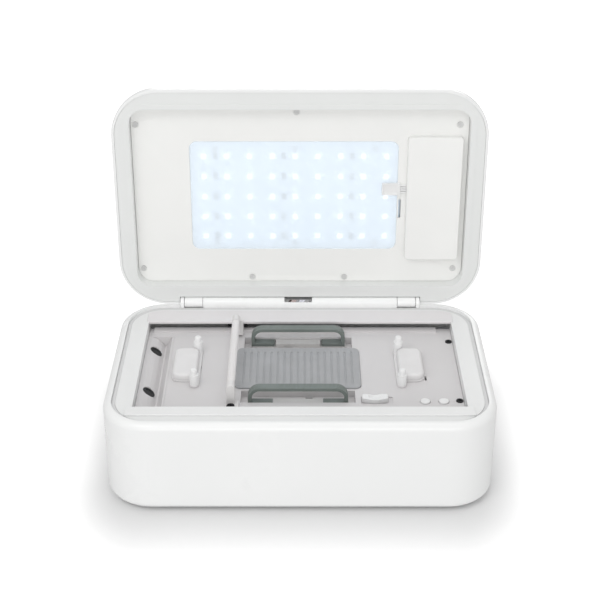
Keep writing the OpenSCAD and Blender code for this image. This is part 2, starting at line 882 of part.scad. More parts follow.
module pinion_shape() {
    base = pinion_r * cos(20);
    tip = pinion_r + tooth_add;
    root = pinion_r - tooth_ded;
    inv = (tan(20) * 180 / PI) - 20;
    half = 90 / pinion_teeth - tooth_slack / 2 / pinion_r * 180 / PI;
    u_tip = acos(base / tip);
    unroll = tan(u_tip) * 180 / PI;
    right = [for (i = [0 : 6]) flank(base, unroll * i / 6)];
    circle(root + 0.05);
    for (n = [0 : pinion_teeth - 1])
        rotate([0, 0, n * 360 / pinion_teeth])
            intersection() {
                circle(tip);
                polygon(concat([[0, 0]],
                    [for (p = right) let (a = -(half + inv))
                        [p[0] * cos(a) - p[1] * sin(a), p[0] * sin(a) + p[1] * cos(a)]],
                    [for (i = [6 : -1 : 0]) let (p = right[i], a = half + inv)
                        [p[0] * cos(a) + p[1] * sin(a), p[0] * sin(a) - p[1] * cos(a)]]));
            }
}

module pinion(z) {
    translate([bed_x, bed_y, z])
        difference() {
            linear_extrude(rack_h)
                pinion_shape();
            translate([0, 0, -1])
                cylinder(h = rack_h + 2, r = post_r + run_gap);
        }
}

module clamp_pinion() {
    color([0.85, 0.83, 0.75]) {
        pinion(clamp_rack_z);
        // hub that stands on the pinion below
        translate([bed_x, bed_y, jaw_rack_z + rack_h + seat])
            difference() {
                cylinder(h = clamp_rack_z - jaw_rack_z - rack_h - seat + eps, r = post_r + 1.5);
                translate([0, 0, -1])
                    cylinder(h = 6, r = post_r + run_gap);
            }
    }
}

module jaw_pinion() {
    color([0.85, 0.83, 0.75])
    pinion(jaw_rack_z);
}

// Toothed bar along X with its teeth towards -Y; the pitch line is y = 0 and a gap is at x = 0.
module rack_bar(x0, x1, teeth) {
    half = rack_pitch / 4 - tooth_slack / 2;
    slope = tan(20);
    linear_extrude(rack_h) {
        translate([x0, tooth_ded])
            square([x1 - x0, rack_w - tooth_ded]);
        for (k = [-teeth : teeth - 1])
            translate([(k + 0.5) * rack_pitch, 0])
                polygon([[-half - slope * tooth_ded, tooth_ded + eps],
                    [-half + slope * tooth_add, -tooth_add],
                    [half - slope * tooth_add, -tooth_add],
                    [half + slope * tooth_ded, tooth_ded + eps]]);
    }
}

// Arch with round upper corners, standing on the floor of the sketch.
module arch(half, h, r) {
    intersection() {
        translate([-half, 0])
            square([2 * half, h]);
        union() {
            translate([-half, 0])
                square([2 * half, h - r]);
            translate([-half + r, 0])
                square([2 * (half - r), h]);
            for (sx = [-1, 1])
                translate([sx * (half - r), h - r])
                    circle(r);
        }
    }
}

// Bent strip bracket that holds the long side of the phone.
module clamp_bracket() {
    h = clamp_top - foot_top + strip_t;
    rotate([90, 0, 0])
        linear_extrude(strip_w, center = true)
            difference() {
                arch(clamp_w / 2, h, bend_r);
                translate([0, strip_t])
                    arch(clamp_w / 2 - strip_t, h - 2 * strip_t, bend_r - strip_t);
                translate([-clamp_w / 2 + 18.5, -1])
                    square([clamp_w - 37, strip_t + 2]);
            }
}

module front_clamp() {
    color([0.49, 0.52, 0.5])
    translate([bed_x, bed_y - clamp_mid, foot_top - strip_t])
        clamp_bracket();
}

module rear_clamp() {
    color([0.49, 0.52, 0.5])
    translate([bed_x, bed_y + clamp_mid, foot_top - strip_t])
        clamp_bracket();
}

// Slide under a front clamp with its stem and its toothed bar.
module clamp_rack() {
    x = pinion_r + rack_w / 2;
    y = -clamp_mid;
    span_box(-clamp_w / 2 - 1, clamp_w / 2 + 1, y - strip_w / 2, y + strip_w / 2,
        foot_top - strip_t - slide_t, foot_top - strip_t);
    span_box(-clamp_w / 2 + 19.5, clamp_w / 2 - 19.5, y - strip_w / 2, y + strip_w / 2,
        foot_top - strip_t - eps, foot_top - 0.4);
    span_box(x - 2.2, x + 2.2, y - 3, y + 3, clamp_rack_z + 1, foot_top - strip_t - slide_t + eps);
    translate([pinion_r, 0, clamp_rack_z])
        rotate([0, 0, 90])
            mirror([0, 1, 0])
                rack_bar(y - 3, 14, 4);
}

module front_clamp_rack() {
    color([0.86, 0.85, 0.84])
    translate([bed_x, bed_y, 0])
        clamp_rack();
}

module rear_clamp_rack() {
    color([0.86, 0.85, 0.84])
    translate([bed_x, bed_y, 0])
        rotate([0, 0, 180])
            clamp_rack();
}

// Right end jaw, drawn from the centre of the bed; the pad sits a little off the centre.
module jaw(shift) {
    y = pinion_r + rack_w / 2;
    // plate that runs on the deck, with an ear under each post
    translate([0, 0, jaw_z])
        linear_extrude(jaw_plate_t) {
            translate([jaw_in + pad_w / 2, shift])
                round_rect(pad_w + 0.8, pad_l + 0.8, 6);
            translate([post_x, 0])
                square([post_d, 2 * post_y], center = true);
            for (sy = [-1, 1])
                translate([post_x, sy * post_y])
                    circle(d = post_d);
        }
    // soft pad, waisted above the plate
    translate([jaw_in + pad_w / 2, shift, 0]) {
        translate([0, 0, jaw_z + jaw_plate_t - eps])
            linear_extrude(1)
                round_rect(pad_w - 1, pad_l - 1, 5.5);
        soft_slab(pad_w, pad_l, 6, jaw_z + jaw_plate_t + 0.5, jaw_z + jaw_plate_t + pad_h,
            0.4, 2.4);
    }
    // stem and toothed bar under the deck
    span_box(stem_x, stem_x + 6, y - 2, y + 2, jaw_rack_z + 1, jaw_z + eps);
    translate([0, pinion_r, jaw_rack_z])
        rack_bar(-14, stem_x + 6, 4);
}

module posts() {
    for (sy = [-1, 1])
        translate([post_x, sy * post_y, jaw_z + jaw_plate_t]) {
            cylinder(h = rim_z + post_over - 4.5 - jaw_z - jaw_plate_t, d = post_d);
            cylinder(h = rim_z + post_over - 0.8 - jaw_z - jaw_plate_t, d = knob_d);
            translate([0, 0, rim_z + post_over - 0.8 - jaw_z - jaw_plate_t])
                cylinder(h = 0.8, d1 = knob_d, d2 = knob_d - 1.2);
        }
}

module left_jaw() {
    color([0.92, 0.91, 0.91])
    translate([bed_x, bed_y, 0])
        rotate([0, 0, 180])
            jaw(-pad_shift);
}

module right_jaw() {
    color([0.92, 0.91, 0.91])
    translate([bed_x, bed_y, 0])
        jaw(pad_shift);
}

module left_posts() {
    color([0.95, 0.95, 0.95])
    translate([bed_x, bed_y, 0])
        rotate([0, 0, 180])
            posts();
}

module right_posts() {
    color([0.95, 0.95, 0.95])
    translate([bed_x, bed_y, 0])
        posts();
}

module wiper_arm() {
    r = roller_d / 2;
    color([0.9, 0.9, 0.89]) {
        y_rod(leg_front + 1, leg_rear + leg_rear_t - 1, wiper_x, roller_z, 2);
        // front head, leg and foot
        y_rod(leg_front, sleeve_y0 - seat, wiper_x, roller_z, r);
        span_box(wiper_x - r, wiper_x + r, leg_front, leg_front + leg_t, deck_z + 0.4, roller_z);
        span_box(wiper_x - r - 0.2, wiper_x + r + 2.6, -deck_front - 10.4, leg_front + leg_t,
            deck_z + 0.4, deck_z + 2.9);
        // rear head, leg and foot
        y_rod(sleeve_y1 + seat, leg_rear + leg_rear_t, wiper_x, roller_z, r);
        span_box(wiper_x + 0.5, wiper_x + r + 2.2, leg_rear, leg_rear + leg_rear_t,
            deck_z + strip_h + 0.6, roller_z);
        span_box(wiper_x - 3, wiper_x + r + 2.2, leg_rear, deck_rear + 9.2,
            deck_z + strip_h + 0.6, deck_z + strip_h + 3.4);
    }
}

module wiper_sleeve() {
    color([0.96, 0.96, 0.96])
    difference() {
        y_rod(sleeve_y0, sleeve_y1, wiper_x, roller_z, roller_d / 2);
        y_rod(sleeve_y0 - 1, sleeve_y1 + 1, wiper_x, roller_z, 2 + run_gap);
    }
}

module wiper_carriages() {
    color([0.3, 0.31, 0.33])
    difference() {
        union() {
            span_box(wiper_x - car_w / 2, wiper_x + car_w / 2, -deck_front - 11.8, -deck_front - 0.6,
                rod_front_z - 4.5, deck_z + 0.4);
            span_box(wiper_x - car_w / 2, wiper_x + car_w / 2, deck_rear + 0.5, deck_rear + 9.9,
                belt_z + belt_h + 1.5, deck_z + strip_h + 0.6);
            // fork on the front side of the belt
            span_box(wiper_x - car_w / 2, wiper_x + car_w / 2,
                rod_rear_y - pulley_r - belt_t - 1.8, rod_rear_y,
                belt_z + belt_h + 1.5, belt_z + belt_h + 4);
            for (y = [rod_rear_y - pulley_r - belt_t - 1.8, rod_rear_y - pulley_r + 0.4])
                span_box(wiper_x - car_w / 2, wiper_x + car_w / 2, y, y + 1.4,
                    belt_z - 0.5, belt_z + belt_h + 4);
        }
        x_rod(wiper_x - car_w, wiper_x + car_w, rod_front_y, rod_front_z, rod_d / 2 + run_gap);
        x_rod(wiper_x - car_w, wiper_x + car_w, rod_rear_y, rod_rear_z, rod_d / 2 + run_gap);
    }
}

module arm_screws() {
    color([0.15, 0.15, 0.16])
    for (spot = [[-deck_front - 3.4, deck_z + 2.9], [deck_rear + 4.2, deck_z + strip_h + 3.4]])
        translate([wiper_x, spot[0], spot[1]])
            difference() {
                cylinder(h = 1.4, d = 6);
                translate([0, 0, 0.7])
                    cross_recess(3, 2);
            }
}

module button_at(side) {
    translate([button_x + side * button_pitch / 2, button_y, 0]) {
        translate([0, 0, deck_z - 1.4])
            rotate_extrude() {
                square([button_d / 2 - 0.6, 2.2]);
                square([button_d / 2, 1.6]);
                translate([button_d / 2 - 0.6, 1.6])
                    circle(0.6);
            }
        translate([0, 0, deck_z - deck_t - 1.2])
            cylinder(h = 3, d = button_d - 2);
        translate([0, 0, deck_z - deck_t - 1.5])
            cylinder(h = 1.1, d = button_d + 2);
    }
}

module power_button() {
    color([0.97, 0.97, 0.97])
    button_at(-1);
}

module start_button() {
    color([0.97, 0.97, 0.97])
    button_at(1);
}

module button_switches() {
    top = deck_z - deck_t - 1.5 - 1.5;
    color([0.2, 0.45, 0.3])
    span_box(button_x - 16, button_x + 13, button_y - 7, button_y + 7, top - 5, top - 3.4);
    color([0.2, 0.2, 0.2]) {
        for (sx = [-1, 1])
            translate([button_x + sx * button_pitch / 2, button_y, top - 3.4 - eps]) {
                span_box(-3, 3, -3, 3, 0, 2.6);
                cylinder(h = 3.1, r = 1.6);
            }
        // posts up to the deck
        for (sy = [-1, 1])
            translate([button_x, button_y + sy * 4.8, top - 3.4 - eps])
                cylinder(h = deck_z - deck_t - top + 3.4 + eps, r = 1.6);
    }
}

module release_tab() {
    color([0.96, 0.96, 0.95])
    difference() {
        union() {
            // cap with a straight rear edge and a bowed front edge
            intersection() {
                translate([tab_x, tab_y, 0])
                    soft_slab(tab_w, tab_d, 1.6, deck_z - 0.6, deck_z + 3.2, 0, 0.8);
                translate([tab_x, tab_y - tab_d / 2 + tab_bow_r, deck_z - 1])
                    cylinder(h = 6, r = tab_bow_r);
            }
            span_box(tab_x - 1.5, tab_x + 1.5, tab_y - 1.5, tab_y + 1.5,
                deck_z - deck_t - 2.5, deck_z);
            span_box(tab_x - 4, tab_x + 4, tab_y - 3.5, tab_y + 3.5,
                deck_z - deck_t - 2.5, deck_z - deck_t - seat);
        }
        // thumb scoop
        translate([tab_x, tab_y + 1.5, deck_z + 8.6])
            sphere(r = 7.4);
    }
}

module control_board() {
    color([0.15, 0.4, 0.25])
    difference() {
        span_box(pcb_x, pcb_x + pcb_w, pcb_y, pcb_y + pcb_d, pcb_z, pcb_z + board_t);
        for (px = [4, pcb_w - 4], py = [4, pcb_d - 4])
            translate([pcb_x + px, pcb_y + py, pcb_z - 1])
                cylinder(h = 4, d = 3.2);
    }
}

module board_parts() {
    z = pcb_z + board_t;
    color([0.15, 0.15, 0.16]) {
        span_box(pcb_x + 34, pcb_x + 48, pcb_y + 18, pcb_y + 32, z, z + 1.6);
        span_box(pcb_x + 62, pcb_x + 72, pcb_y + 8, pcb_y + 14, z, z + 1.6);
        for (k = [0 : 2])
            translate([pcb_x + 16 + k * 2, pcb_y + 10 + k * 12, z])
                cylinder(h = 12, d = 9);
    }
    color([0.92, 0.9, 0.85])
    for (k = [0 : 3])
        span_box(pcb_x + 30 + k * 12, pcb_x + 38 + k * 12, pcb_y + 42, pcb_y + 49, z, z + 7);
}

module dc_inlet() {
    color([0.12, 0.12, 0.12])
    difference() {
        union() {
            y_rod(half_d - wall - 9, half_d - 0.3, inlet_x, inlet_z, 5);
            y_rod(half_d - wall - 2, half_d - wall, inlet_x, inlet_z, 7);
            span_box(inlet_x - 5, inlet_x + 5, half_d - wall - 14, half_d - wall - 5,
                inlet_z - 5.5, inlet_z + 5);
        }
        y_rod(half_d - 10, half_d + 1, inlet_x, inlet_z, 2.9);
    }
    color([0.7, 0.7, 0.72])
    y_rod(half_d - 10.5, half_d - 1.8, inlet_x, inlet_z, 1);
}

module lid_sensor() {
    color([0.15, 0.15, 0.16])
    translate([0, -(well_front + well_wall), 0])
        span_box(-9, 9, -3.2, -0.01, groove_z - 9, groove_z - 3.2);
}

// Section of the hinge spine; the barrel stands on a foot in the notch of the rear lip.
module spine_section() {
    translate([lip_rear + fit, hinge_z - 6])
        square([half_d - lip_rear - fit, 6 - barrel_r - 0.4]);
    translate([hinge_y, hinge_z])
        circle(barrel_r);
    translate([lip_rear + fit, hinge_z - 5])
        square([hinge_y - lip_rear - fit, 5]);
    translate([hinge_y - 1, hinge_z - 5])
        square([half_d - hinge_y + 1, 4]);
}

module hinge_spine() {
    color([0.97, 0.97, 0.97])
    difference() {
        union() {
            // foot along the whole hinge
            span_box(-hinge_end, hinge_end, lip_rear + fit, half_d, hinge_z - 6, hinge_z - barrel_r - 0.4);
            for (run = [[-knuckle_in, wire_x0], [wire_x1, knuckle_in], [-hinge_end, -knuckle_out],
                [knuckle_out, hinge_end]])
                translate([run[0], 0, 0])
                    rotate([90, 0, 90])
                        linear_extrude(run[1] - run[0])
                            spine_section();
            // front lip of the window for the wires
            translate([wire_x0, 0, 0])
                rotate([90, 0, 90])
                    linear_extrude(wire_x1 - wire_x0)
                        intersection() {
                            spine_section();
                            translate([lip_rear, hinge_z - 6])
                                square([hinge_y - wire_bend - 1.2 - lip_rear, 6 + wire_lip]);
                        }
        }
        pin_rods(0.5);
    }
}

// Both hinge pins, or the bores that hold them when more is above 0.
module pin_rods(more) {
    for (sx = [-1, 1])
        x_rod(sx * (knuckle_in + hinge_end - 5) / 2 - (hinge_end - knuckle_in + 5) / 2 - more,
            sx * (knuckle_in + hinge_end - 5) / 2 + (hinge_end - knuckle_in + 5) / 2 + more,
            hinge_y, hinge_z, pin_d / 2);
}

module hinge_pins() {
    color([0.6, 0.6, 0.62])
    pin_rods(0);
}

// One wire that comes up out of the spine and bends over the hinge axis.
module bent_wire() {
    rotate([90, 0, 90])
        rotate_extrude(angle = 180)
            translate([wire_bend, 0])
                circle(0.9);
    translate([0, -wire_bend, -barrel_r - 0.4])
        cylinder(h = barrel_r + 0.4, r = 0.9);
}

module hinge_wires() {
    for (k = [0 : 6])
        color(k % 3 == 0 ? [0.55, 0.4, 0.36] : k % 3 == 1 ? [0.92, 0.88, 0.88] : [0.6, 0.6, 0.66])
        translate([wire_x0 + 3 + k * 2.8, hinge_y, hinge_z])
            bent_wire();
}

module lid_boss_points() {
    for (x = [window_x - window_w / 2 + 19.9, window_x + 0.6, window_x + window_w / 2 - 17.7],
        t = [window_t + window_l / 2 - 7.7, window_t - window_l / 2 + 3.6])
        translate([x, -t, 0])
            children();
}

module panel_points() {
    for (p = [[3.9 - recess_half, recess_t1 - 15], [-2.7, recess_t1 - 4.7],
        [recess_half - 7.3, recess_t1 - 15], [4.2 - recess_half, recess_t0 + 11.8],
        [recess_half - 7.3, recess_t0 + 11.8], [-39.3, recess_t0 + 4], [36.4, recess_t0 + 4]])
        translate([p[0], -p[1], 0])
            children();
}

// Clears the hinge barrel along the rear edge of the lid.
module hinge_groove() {
    x_rod(-hinge_end - 0.6, hinge_end + 0.6, 0, 0, groove_r);
}

module lid_shell() {
    color([0.96, 0.96, 0.96])
    lid_place()
    difference() {
        union() {
            difference() {
                translate([0, lid_y, 0])
                    soft_slab(lid_w, lid_d, lid_r, 0, lid_h, 1.5, lid_top_r);
                translate([0, lid_y, 0])
                    soft_slab(lid_w - 2 * lid_wall, lid_d - 2 * lid_wall, lid_r - lid_wall,
                        -2, lid_h - lid_wall, 0, lid_top_r - lid_wall);
            }
            lid_boss_points()
                translate([0, 0, board_z + board_t])
                    cylinder(h = lid_h - 1 - board_z - board_t, d = 6, $fn = 24);
            panel_points()
                translate([0, 0, panel_top])
                    cylinder(h = lid_h - 1 - panel_top, d = 6, $fn = 24);
        }
        hinge_groove();
        lid_boss_points()
            translate([0, 0, board_z - 1])
                cylinder(h = 6, d = 1.8);
        panel_points()
            translate([0, 0, panel_top - 1])
                cylinder(h = 6, d = 1.8);
    }
}

module frame_plan(grow) {
    translate([0, recess_y])
        round_rect(recess_w + 2 * grow, recess_d + 2 * grow, recess_r + grow);
}

module lid_frame() {
    inset = lid_wall + frame_gap;
    color([0.9, 0.9, 0.9])
    lid_place()
    difference() {
        union() {
            // face plate inside the lid wall
            translate([0, lid_y, 0.4])
                linear_extrude(frame_t)
                    round_rect(lid_w - 2 * inset, lid_d - 2 * inset, lid_r - inset);
            // wall of the recess
            translate([0, 0, 0.4])
                linear_extrude(panel_top + 0.7)
                    frame_plan(frame_wall);
            translate([0, 0, 0.4 - ridge_h])
                linear_extrude(ridge_h + 1)
                    frame_plan(0.6 + ridge_w);
            // blocks that hold the hinge leaves
            for (sx = [-1, 1])
                span_box(sx * leaf_x - leaf_half - 2.5, sx * leaf_x + leaf_half + 2.5,
                    -recess_t0, -2.8, 0.4, 11.2);
            // cup of the magnet
            translate([0, -magnet_t, 0.4])
                cylinder(h = 8.6, d = magnet_d + 3);
        }
        translate([0, 0, -3])
            linear_extrude(panel_top + 3)
                frame_plan(0);
        translate([0, 0, -3])
            linear_extrude(30)
                frame_plan(-3);
        translate([0, 0, -3])
            linear_extrude(3)
                frame_plan(0.6);
        panel_points()
            translate([0, 0, panel_top - 1])
                cylinder(h = 8, d = 6.4);
        hinge_groove();
        // pockets of the two hinge leaves, closed towards the face beyond the barrel
        for (sx = [-1, 1]) {
            span_box(sx * leaf_x - leaf_half - seat, sx * leaf_x + leaf_half + seat,
                -groove_r, 3, -1, 9);
            span_box(sx * leaf_x - leaf_half - seat, sx * leaf_x + leaf_half + seat,
                -leaf_rear - leaf_len - seat, -groove_r + 1, 1.7, 9);
        }
        // hole of the magnet
        translate([0, -magnet_t, 4])
            cylinder(h = 20, d = magnet_d + 0.2);
    }
}

module lid_panel() {
    color([0.93, 0.93, 0.91])
    lid_place()
    difference() {
        translate([0, 0, recess_h])
            linear_extrude(panel_t)
                frame_plan(-fit);
        translate([window_x, -window_t, recess_h - 1])
            linear_extrude(panel_t + 2)
                round_rect(window_w, window_l, 6);
        // slot of the lamp lead
        span_box(drv_x0 - 6, drv_x0 - 4, -conn_t + 4.5, -conn_t + 20.5, recess_h - 1,
            recess_h + panel_t + 1);
        panel_points() {
            translate([0, 0, recess_h - 1])
                cylinder(h = panel_t + 2, d = 2.4);
            translate([0, 0, recess_h - 1])
                cylinder(h = 1.6, d = 5.4);
        }
    }
}

module panel_screws() {
    color([0.75, 0.75, 0.74])
    lid_place()
    panel_points()
        difference() {
            union() {
                translate([0, 0, recess_h - 0.3])
                    cylinder(h = 0.9, d = 4.4);
                translate([0, 0, recess_h])
                    cylinder(h = panel_t + 3.5, d = 1.8);
            }
            translate([0, 0, recess_h - 1])
                cross_recess(2.6, 1.1);
        }
}

module led_board() {
    color([0.9, 0.93, 0.97])
    lid_place()
    difference() {
        translate([window_x, -window_t, board_z])
            linear_extrude(board_t)
                round_rect(window_w + 6, window_l + 6, 4);
        lid_boss_points()
            translate([0, 0, board_z - 1])
                cylinder(h = 4, d = 2.4);
    }
}

module led_points() {
    for (i = [0 : led_cols - 1], j = [0 : led_rows - 1])
        translate([led_x + (i - (led_cols - 1) / 2) * led_px,
            -led_t + (j - (led_rows - 1) / 2) * led_py, 0])
            children();
}

module leds() {
    color([0.98, 0.98, 1])
    lid_place()
    led_points()
        translate([0, 0, board_z - 0.9])
            linear_extrude(0.9)
                square(led_size, center = true);
}

module led_resistors() {
    color([0.2, 0.2, 0.22])
    lid_place()
    for (i = [-3.5, -0.5, 2.5], j = [0 : led_rows - 1])
        translate([led_x + i * led_px, -led_t + (j - (led_rows - 1) / 2) * led_py, board_z - 0.6])
            linear_extrude(0.6)
                for (k = [-1, 1])
                    translate([0, k * 1.5])
                        square([3.2, 1.8], center = true);
}

module led_lens() {
    color([0.9, 0.94, 1, 0.6])
    lid_place() {
        translate([window_x, -window_t, recess_h])
            linear_extrude(lens_t)
                round_rect(window_w - 2 * fit, window_l - 2 * fit, 5.8);
        translate([window_x, -window_t, recess_h + panel_t])
            linear_extrude(1)
                round_rect(window_w + 3, window_l + 5, 7);
    }
}

module board_screws() {
    color([0.75, 0.75, 0.76])
    lid_place()
    lid_boss_points() {
        translate([0, 0, board_z - 1.3])
            cylinder(h = 1.3, d = 4);
        translate([0, 0, board_z - 0.5])
            cylinder(h = board_t + 3.5, d = 1.8);
    }
}

module driver_cover() {
    l = drv_t1 - drv_t0;
    color([0.95, 0.95, 0.94])
    lid_place()
    translate([(drv_x0 + drv_x1) / 2, -(drv_t0 + drv_t1) / 2, 0])
        difference() {
            rotate([180, 0, 0])
                soft_slab(drv_w, l, 3, -recess_h, -recess_h + drv_h, 0, 1.2);
            translate([0, 0, recess_h - drv_h + 1.4])
                linear_extrude(drv_h)
                    round_rect(drv_w - 3.2, l - 3.2, 2);
        }
}

module driver_board() {
    color([0.15, 0.4, 0.25])
    lid_place()
    translate([(drv_x0 + drv_x1) / 2, -(drv_t0 + drv_t1) / 2, 0]) {
        span_box(-drv_w / 2 + 3.7, drv_w / 2 - 3.7, (drv_t0 - drv_t1) / 2 + 6.5,
            (drv_t1 - drv_t0) / 2 - 6.5, recess_h - 1.4, recess_h);
        for (k = [-1, 0, 1])
            span_box(-8, 8, k * 26 - 6, k * 26 + 6, recess_h - 3.4, recess_h - 1.4 + eps);
    }
}

module lead_connector() {
    color([0.95, 0.95, 0.95])
    lid_place()
    difference() {
        span_box(conn_x0, conn_x1, -conn_t - conn_l, -conn_t, recess_h - 2.4, recess_h);
        span_box(conn_x0 + 1.2, conn_x1 - 2.4, -conn_t - conn_l + 1.2, -conn_t - 1.2,
            recess_h - 3, recess_h - 1.6);
    }
}

module lead_wires() {
    color([0.85, 0.85, 0.86])
    lid_place()
    for (k = [0 : 3])
        translate([0, -conn_t - 2.1 - k * 1.9, recess_h - 0.9])
            x_rod(conn_x1, drv_x0, 0, 0, 0.8);
}

module hinge_leaves() {
    color([0.97, 0.97, 0.97])
    lid_place()
    for (sx = [-1, 1])
        difference() {
            union() {
                x_rod(sx * leaf_x - leaf_half, sx * leaf_x + leaf_half, 0, 0, barrel_r);
                span_box(sx * leaf_x - leaf_half, sx * leaf_x + leaf_half,
                    -leaf_rear - leaf_len, -leaf_rear, 2, 8.7);
            }
            x_rod(sx * leaf_x - leaf_half - 1, sx * leaf_x + leaf_half + 1, 0, 0,
                pin_d / 2 + run_gap);
        }
}

module lid_magnet() {
    color([0.7, 0.7, 0.72])
    lid_place()
    translate([0, -magnet_t, 4])
        cylinder(h = 5, d = magnet_d);
}

base_shell();
bottom_cover();
rubber_feet();
bottom_screws();
top_bezel();
rim_gasket();
front_rail_cover();
rear_rail_cover();
deck_plate();
side_block();
side_plugs();
deck_screws();
phone_mat();
guide_rods();
wiper_motor();
belt_brackets();
drive_belt();
mechanism_tray();
control_board();
board_parts();
button_switches();
dc_inlet();
lid_sensor();
hinge_spine();
hinge_pins();
hinge_wires();
lid_shell();
lid_frame();
lid_panel();
led_board();
leds();
led_resistors();
led_lens();
board_screws();
panel_screws();
driver_cover();
driver_board();
lead_connector();
lead_wires();
hinge_leaves();
lid_magnet();
wiper_arm();
wiper_sleeve();
wiper_carriages();
arm_screws();
drive_pulley();
idler_pulley();
front_clamp();
front_clamp_rack();
rear_clamp();
rear_clamp_rack();
clamp_pinion();
left_jaw();
left_posts();
right_jaw();
right_posts();
jaw_pinion();
power_button();
start_button();
release_tab();
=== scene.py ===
# %% [markdown]
# # A sanitizer box with a wiper, dressed for its portrait
#
# The object is a white moulded box with a lid that stands open. A deck inside carries a
# wiper, two clamps and two end jaws, and the lid holds a board of lamps behind a frosted
# window. The rigid pieces come in from the CAD model, already at their real size and place.
# They could be modelled again here, but then the two models would drift apart. So they
# only get soft edges and finishes, and the two pieces that CAD blocks out, the cloth sleeve
# of the wiper and the loose wires in the hinge, are made anew.

import json
import math

import bpy
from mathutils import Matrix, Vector


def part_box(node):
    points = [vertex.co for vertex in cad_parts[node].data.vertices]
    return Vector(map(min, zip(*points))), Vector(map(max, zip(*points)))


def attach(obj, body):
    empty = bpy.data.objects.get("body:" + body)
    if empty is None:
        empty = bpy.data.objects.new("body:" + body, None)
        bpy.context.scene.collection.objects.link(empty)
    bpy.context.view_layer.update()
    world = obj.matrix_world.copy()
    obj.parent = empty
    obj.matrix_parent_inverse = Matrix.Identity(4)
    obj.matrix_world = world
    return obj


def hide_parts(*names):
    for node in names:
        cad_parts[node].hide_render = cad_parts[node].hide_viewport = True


MM = 0.001  # the scene is in metres, and small sizes are given in millimetres

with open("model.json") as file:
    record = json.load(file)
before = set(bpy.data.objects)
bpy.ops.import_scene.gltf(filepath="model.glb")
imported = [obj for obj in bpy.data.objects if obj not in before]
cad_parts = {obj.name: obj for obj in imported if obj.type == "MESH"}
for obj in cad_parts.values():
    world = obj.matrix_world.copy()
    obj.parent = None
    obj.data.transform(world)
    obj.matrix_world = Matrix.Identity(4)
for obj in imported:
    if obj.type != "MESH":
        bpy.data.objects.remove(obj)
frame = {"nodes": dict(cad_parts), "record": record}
nodes = frame["nodes"]
record = frame["record"]
bpy.ops.object.select_all(action="DESELECT")
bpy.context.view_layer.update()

# %% [markdown]
# ## The camera
#
# The picture looks down on the box from straight in front, about 29 degrees below the
# horizon. A long lens keeps the upright sides nearly parallel. A camera can be turned by eye
# until the view looks right, but then any error in it would pass for an error in the box.
# So its place and its lens were worked out from the corners of the rim, the well and the
# lid, and are typed in here.

# %% camera
CAMERA_PLACE = (0.0, -0.8514, 0.6045)
CAMERA_TILT = 60.8  # degrees up from straight down
LENS = 78.24  # focal length in mm, on a sensor of the width below
SENSOR_WIDTH = 36.0

bpy.ops.object.camera_add(location=CAMERA_PLACE, rotation=(math.radians(CAMERA_TILT), 0, 0))
camera = bpy.context.object
camera.name = "portrait_camera"
camera.data.sensor_width = SENSOR_WIDTH
camera.data.lens = LENS
camera.data.clip_start = 0.05
camera.data.clip_end = 20.0
bpy.context.scene.camera = camera
print("lens", camera.data.lens, "mm")

# %% [markdown]
# ## Light
#
# White plastic only reads as a shape when the light falls off over it. An even sky alone
# would flatten the box, and small lamps would draw hard shadows into it. So about two thirds
# of the light comes from a plain sky and the rest from large soft panels: three for the
# portrait, and one behind for the views of the back. The camera sees the sky as pure white.

# %% sky: even light on the object, pure white to the camera
SKY_STRENGTH = 0.645
WHITE_STRENGTH = 1.0

scene = bpy.context.scene
scene.view_settings.view_transform = "Standard"
scene.world = bpy.data.worlds.new("studio_sky")
scene.world.use_nodes = True
sky_tree = scene.world.node_tree
sky_tree.nodes.clear()


def white_sky(strength):
    """A white background of the given strength."""
    node = sky_tree.nodes.new("ShaderNodeBackground")
    node.inputs["Color"].default_value = (1, 1, 1, 1)
    node.inputs["Strength"].default_value = strength
    return node.outputs[0]


ray = sky_tree.nodes.new("ShaderNodeLightPath")
chooser = sky_tree.nodes.new("ShaderNodeMixShader")
sky_out = sky_tree.nodes.new("ShaderNodeOutputWorld")
sky_tree.links.new(ray.outputs["Is Camera Ray"], chooser.inputs["Fac"])
sky_tree.links.new(white_sky(SKY_STRENGTH), chooser.inputs[1])
sky_tree.links.new(white_sky(WHITE_STRENGTH), chooser.inputs[2])
sky_tree.links.new(chooser.outputs[0], sky_out.inputs["Surface"])
print("sky strength", SKY_STRENGTH)

# %% four soft panels
# name, place, the point it faces, width and height in metres, power in watts
PANELS = [
    ("key_panel", (-0.5, -0.8, 1.2), (0, 0, 0.1), (0.7, 0.6), 3.8),
    ("front_panel", (0.1, -1.5, 0.45), (0, 0, 0.12), (1.2, 0.5), 5.2),
    ("top_panel", (0.1, 0.1, 1.3), (0, 0, 0.1), (0.8, 0.7), 2.1),
    ("back_panel", (0.2, 1.4, 0.6), (0, 0.1, 0.12), (1.2, 0.6), 3.4),
]
for name, place, aim, size, power in PANELS:
    bpy.ops.object.light_add(type="AREA", location=place)
    lamp = bpy.context.object
    lamp.name = name
    lamp.data.shape = "RECTANGLE"
    lamp.data.size, lamp.data.size_y = size
    lamp.data.energy = power
    way = Vector(aim) - Vector(place)
    lamp.rotation_euler = way.to_track_quat("-Z", "Y").to_euler()
print("soft panels:", len(PANELS))

# %% [markdown]
# ## The floor
#
# The box stands on white paper. A floor that is lit like the box comes out light grey, and
# lamps strong enough to turn it white would burn out the white plastic. So the paper's own
# colour keeps the shadow, and a little glow that only the camera sees lifts it to white.
# The glow is nearly off at the foot of the box and grows over a hand's breadth, so the paper
# near the foot stays darker: a painted shadow, which reaches further to the front and back
# than to the sides, laid over the real soft shadow there.

# %% the paper
FLOOR_WIDTH = 8.0
PAPER_COLOUR = (0.78, 0.78, 0.78, 1)

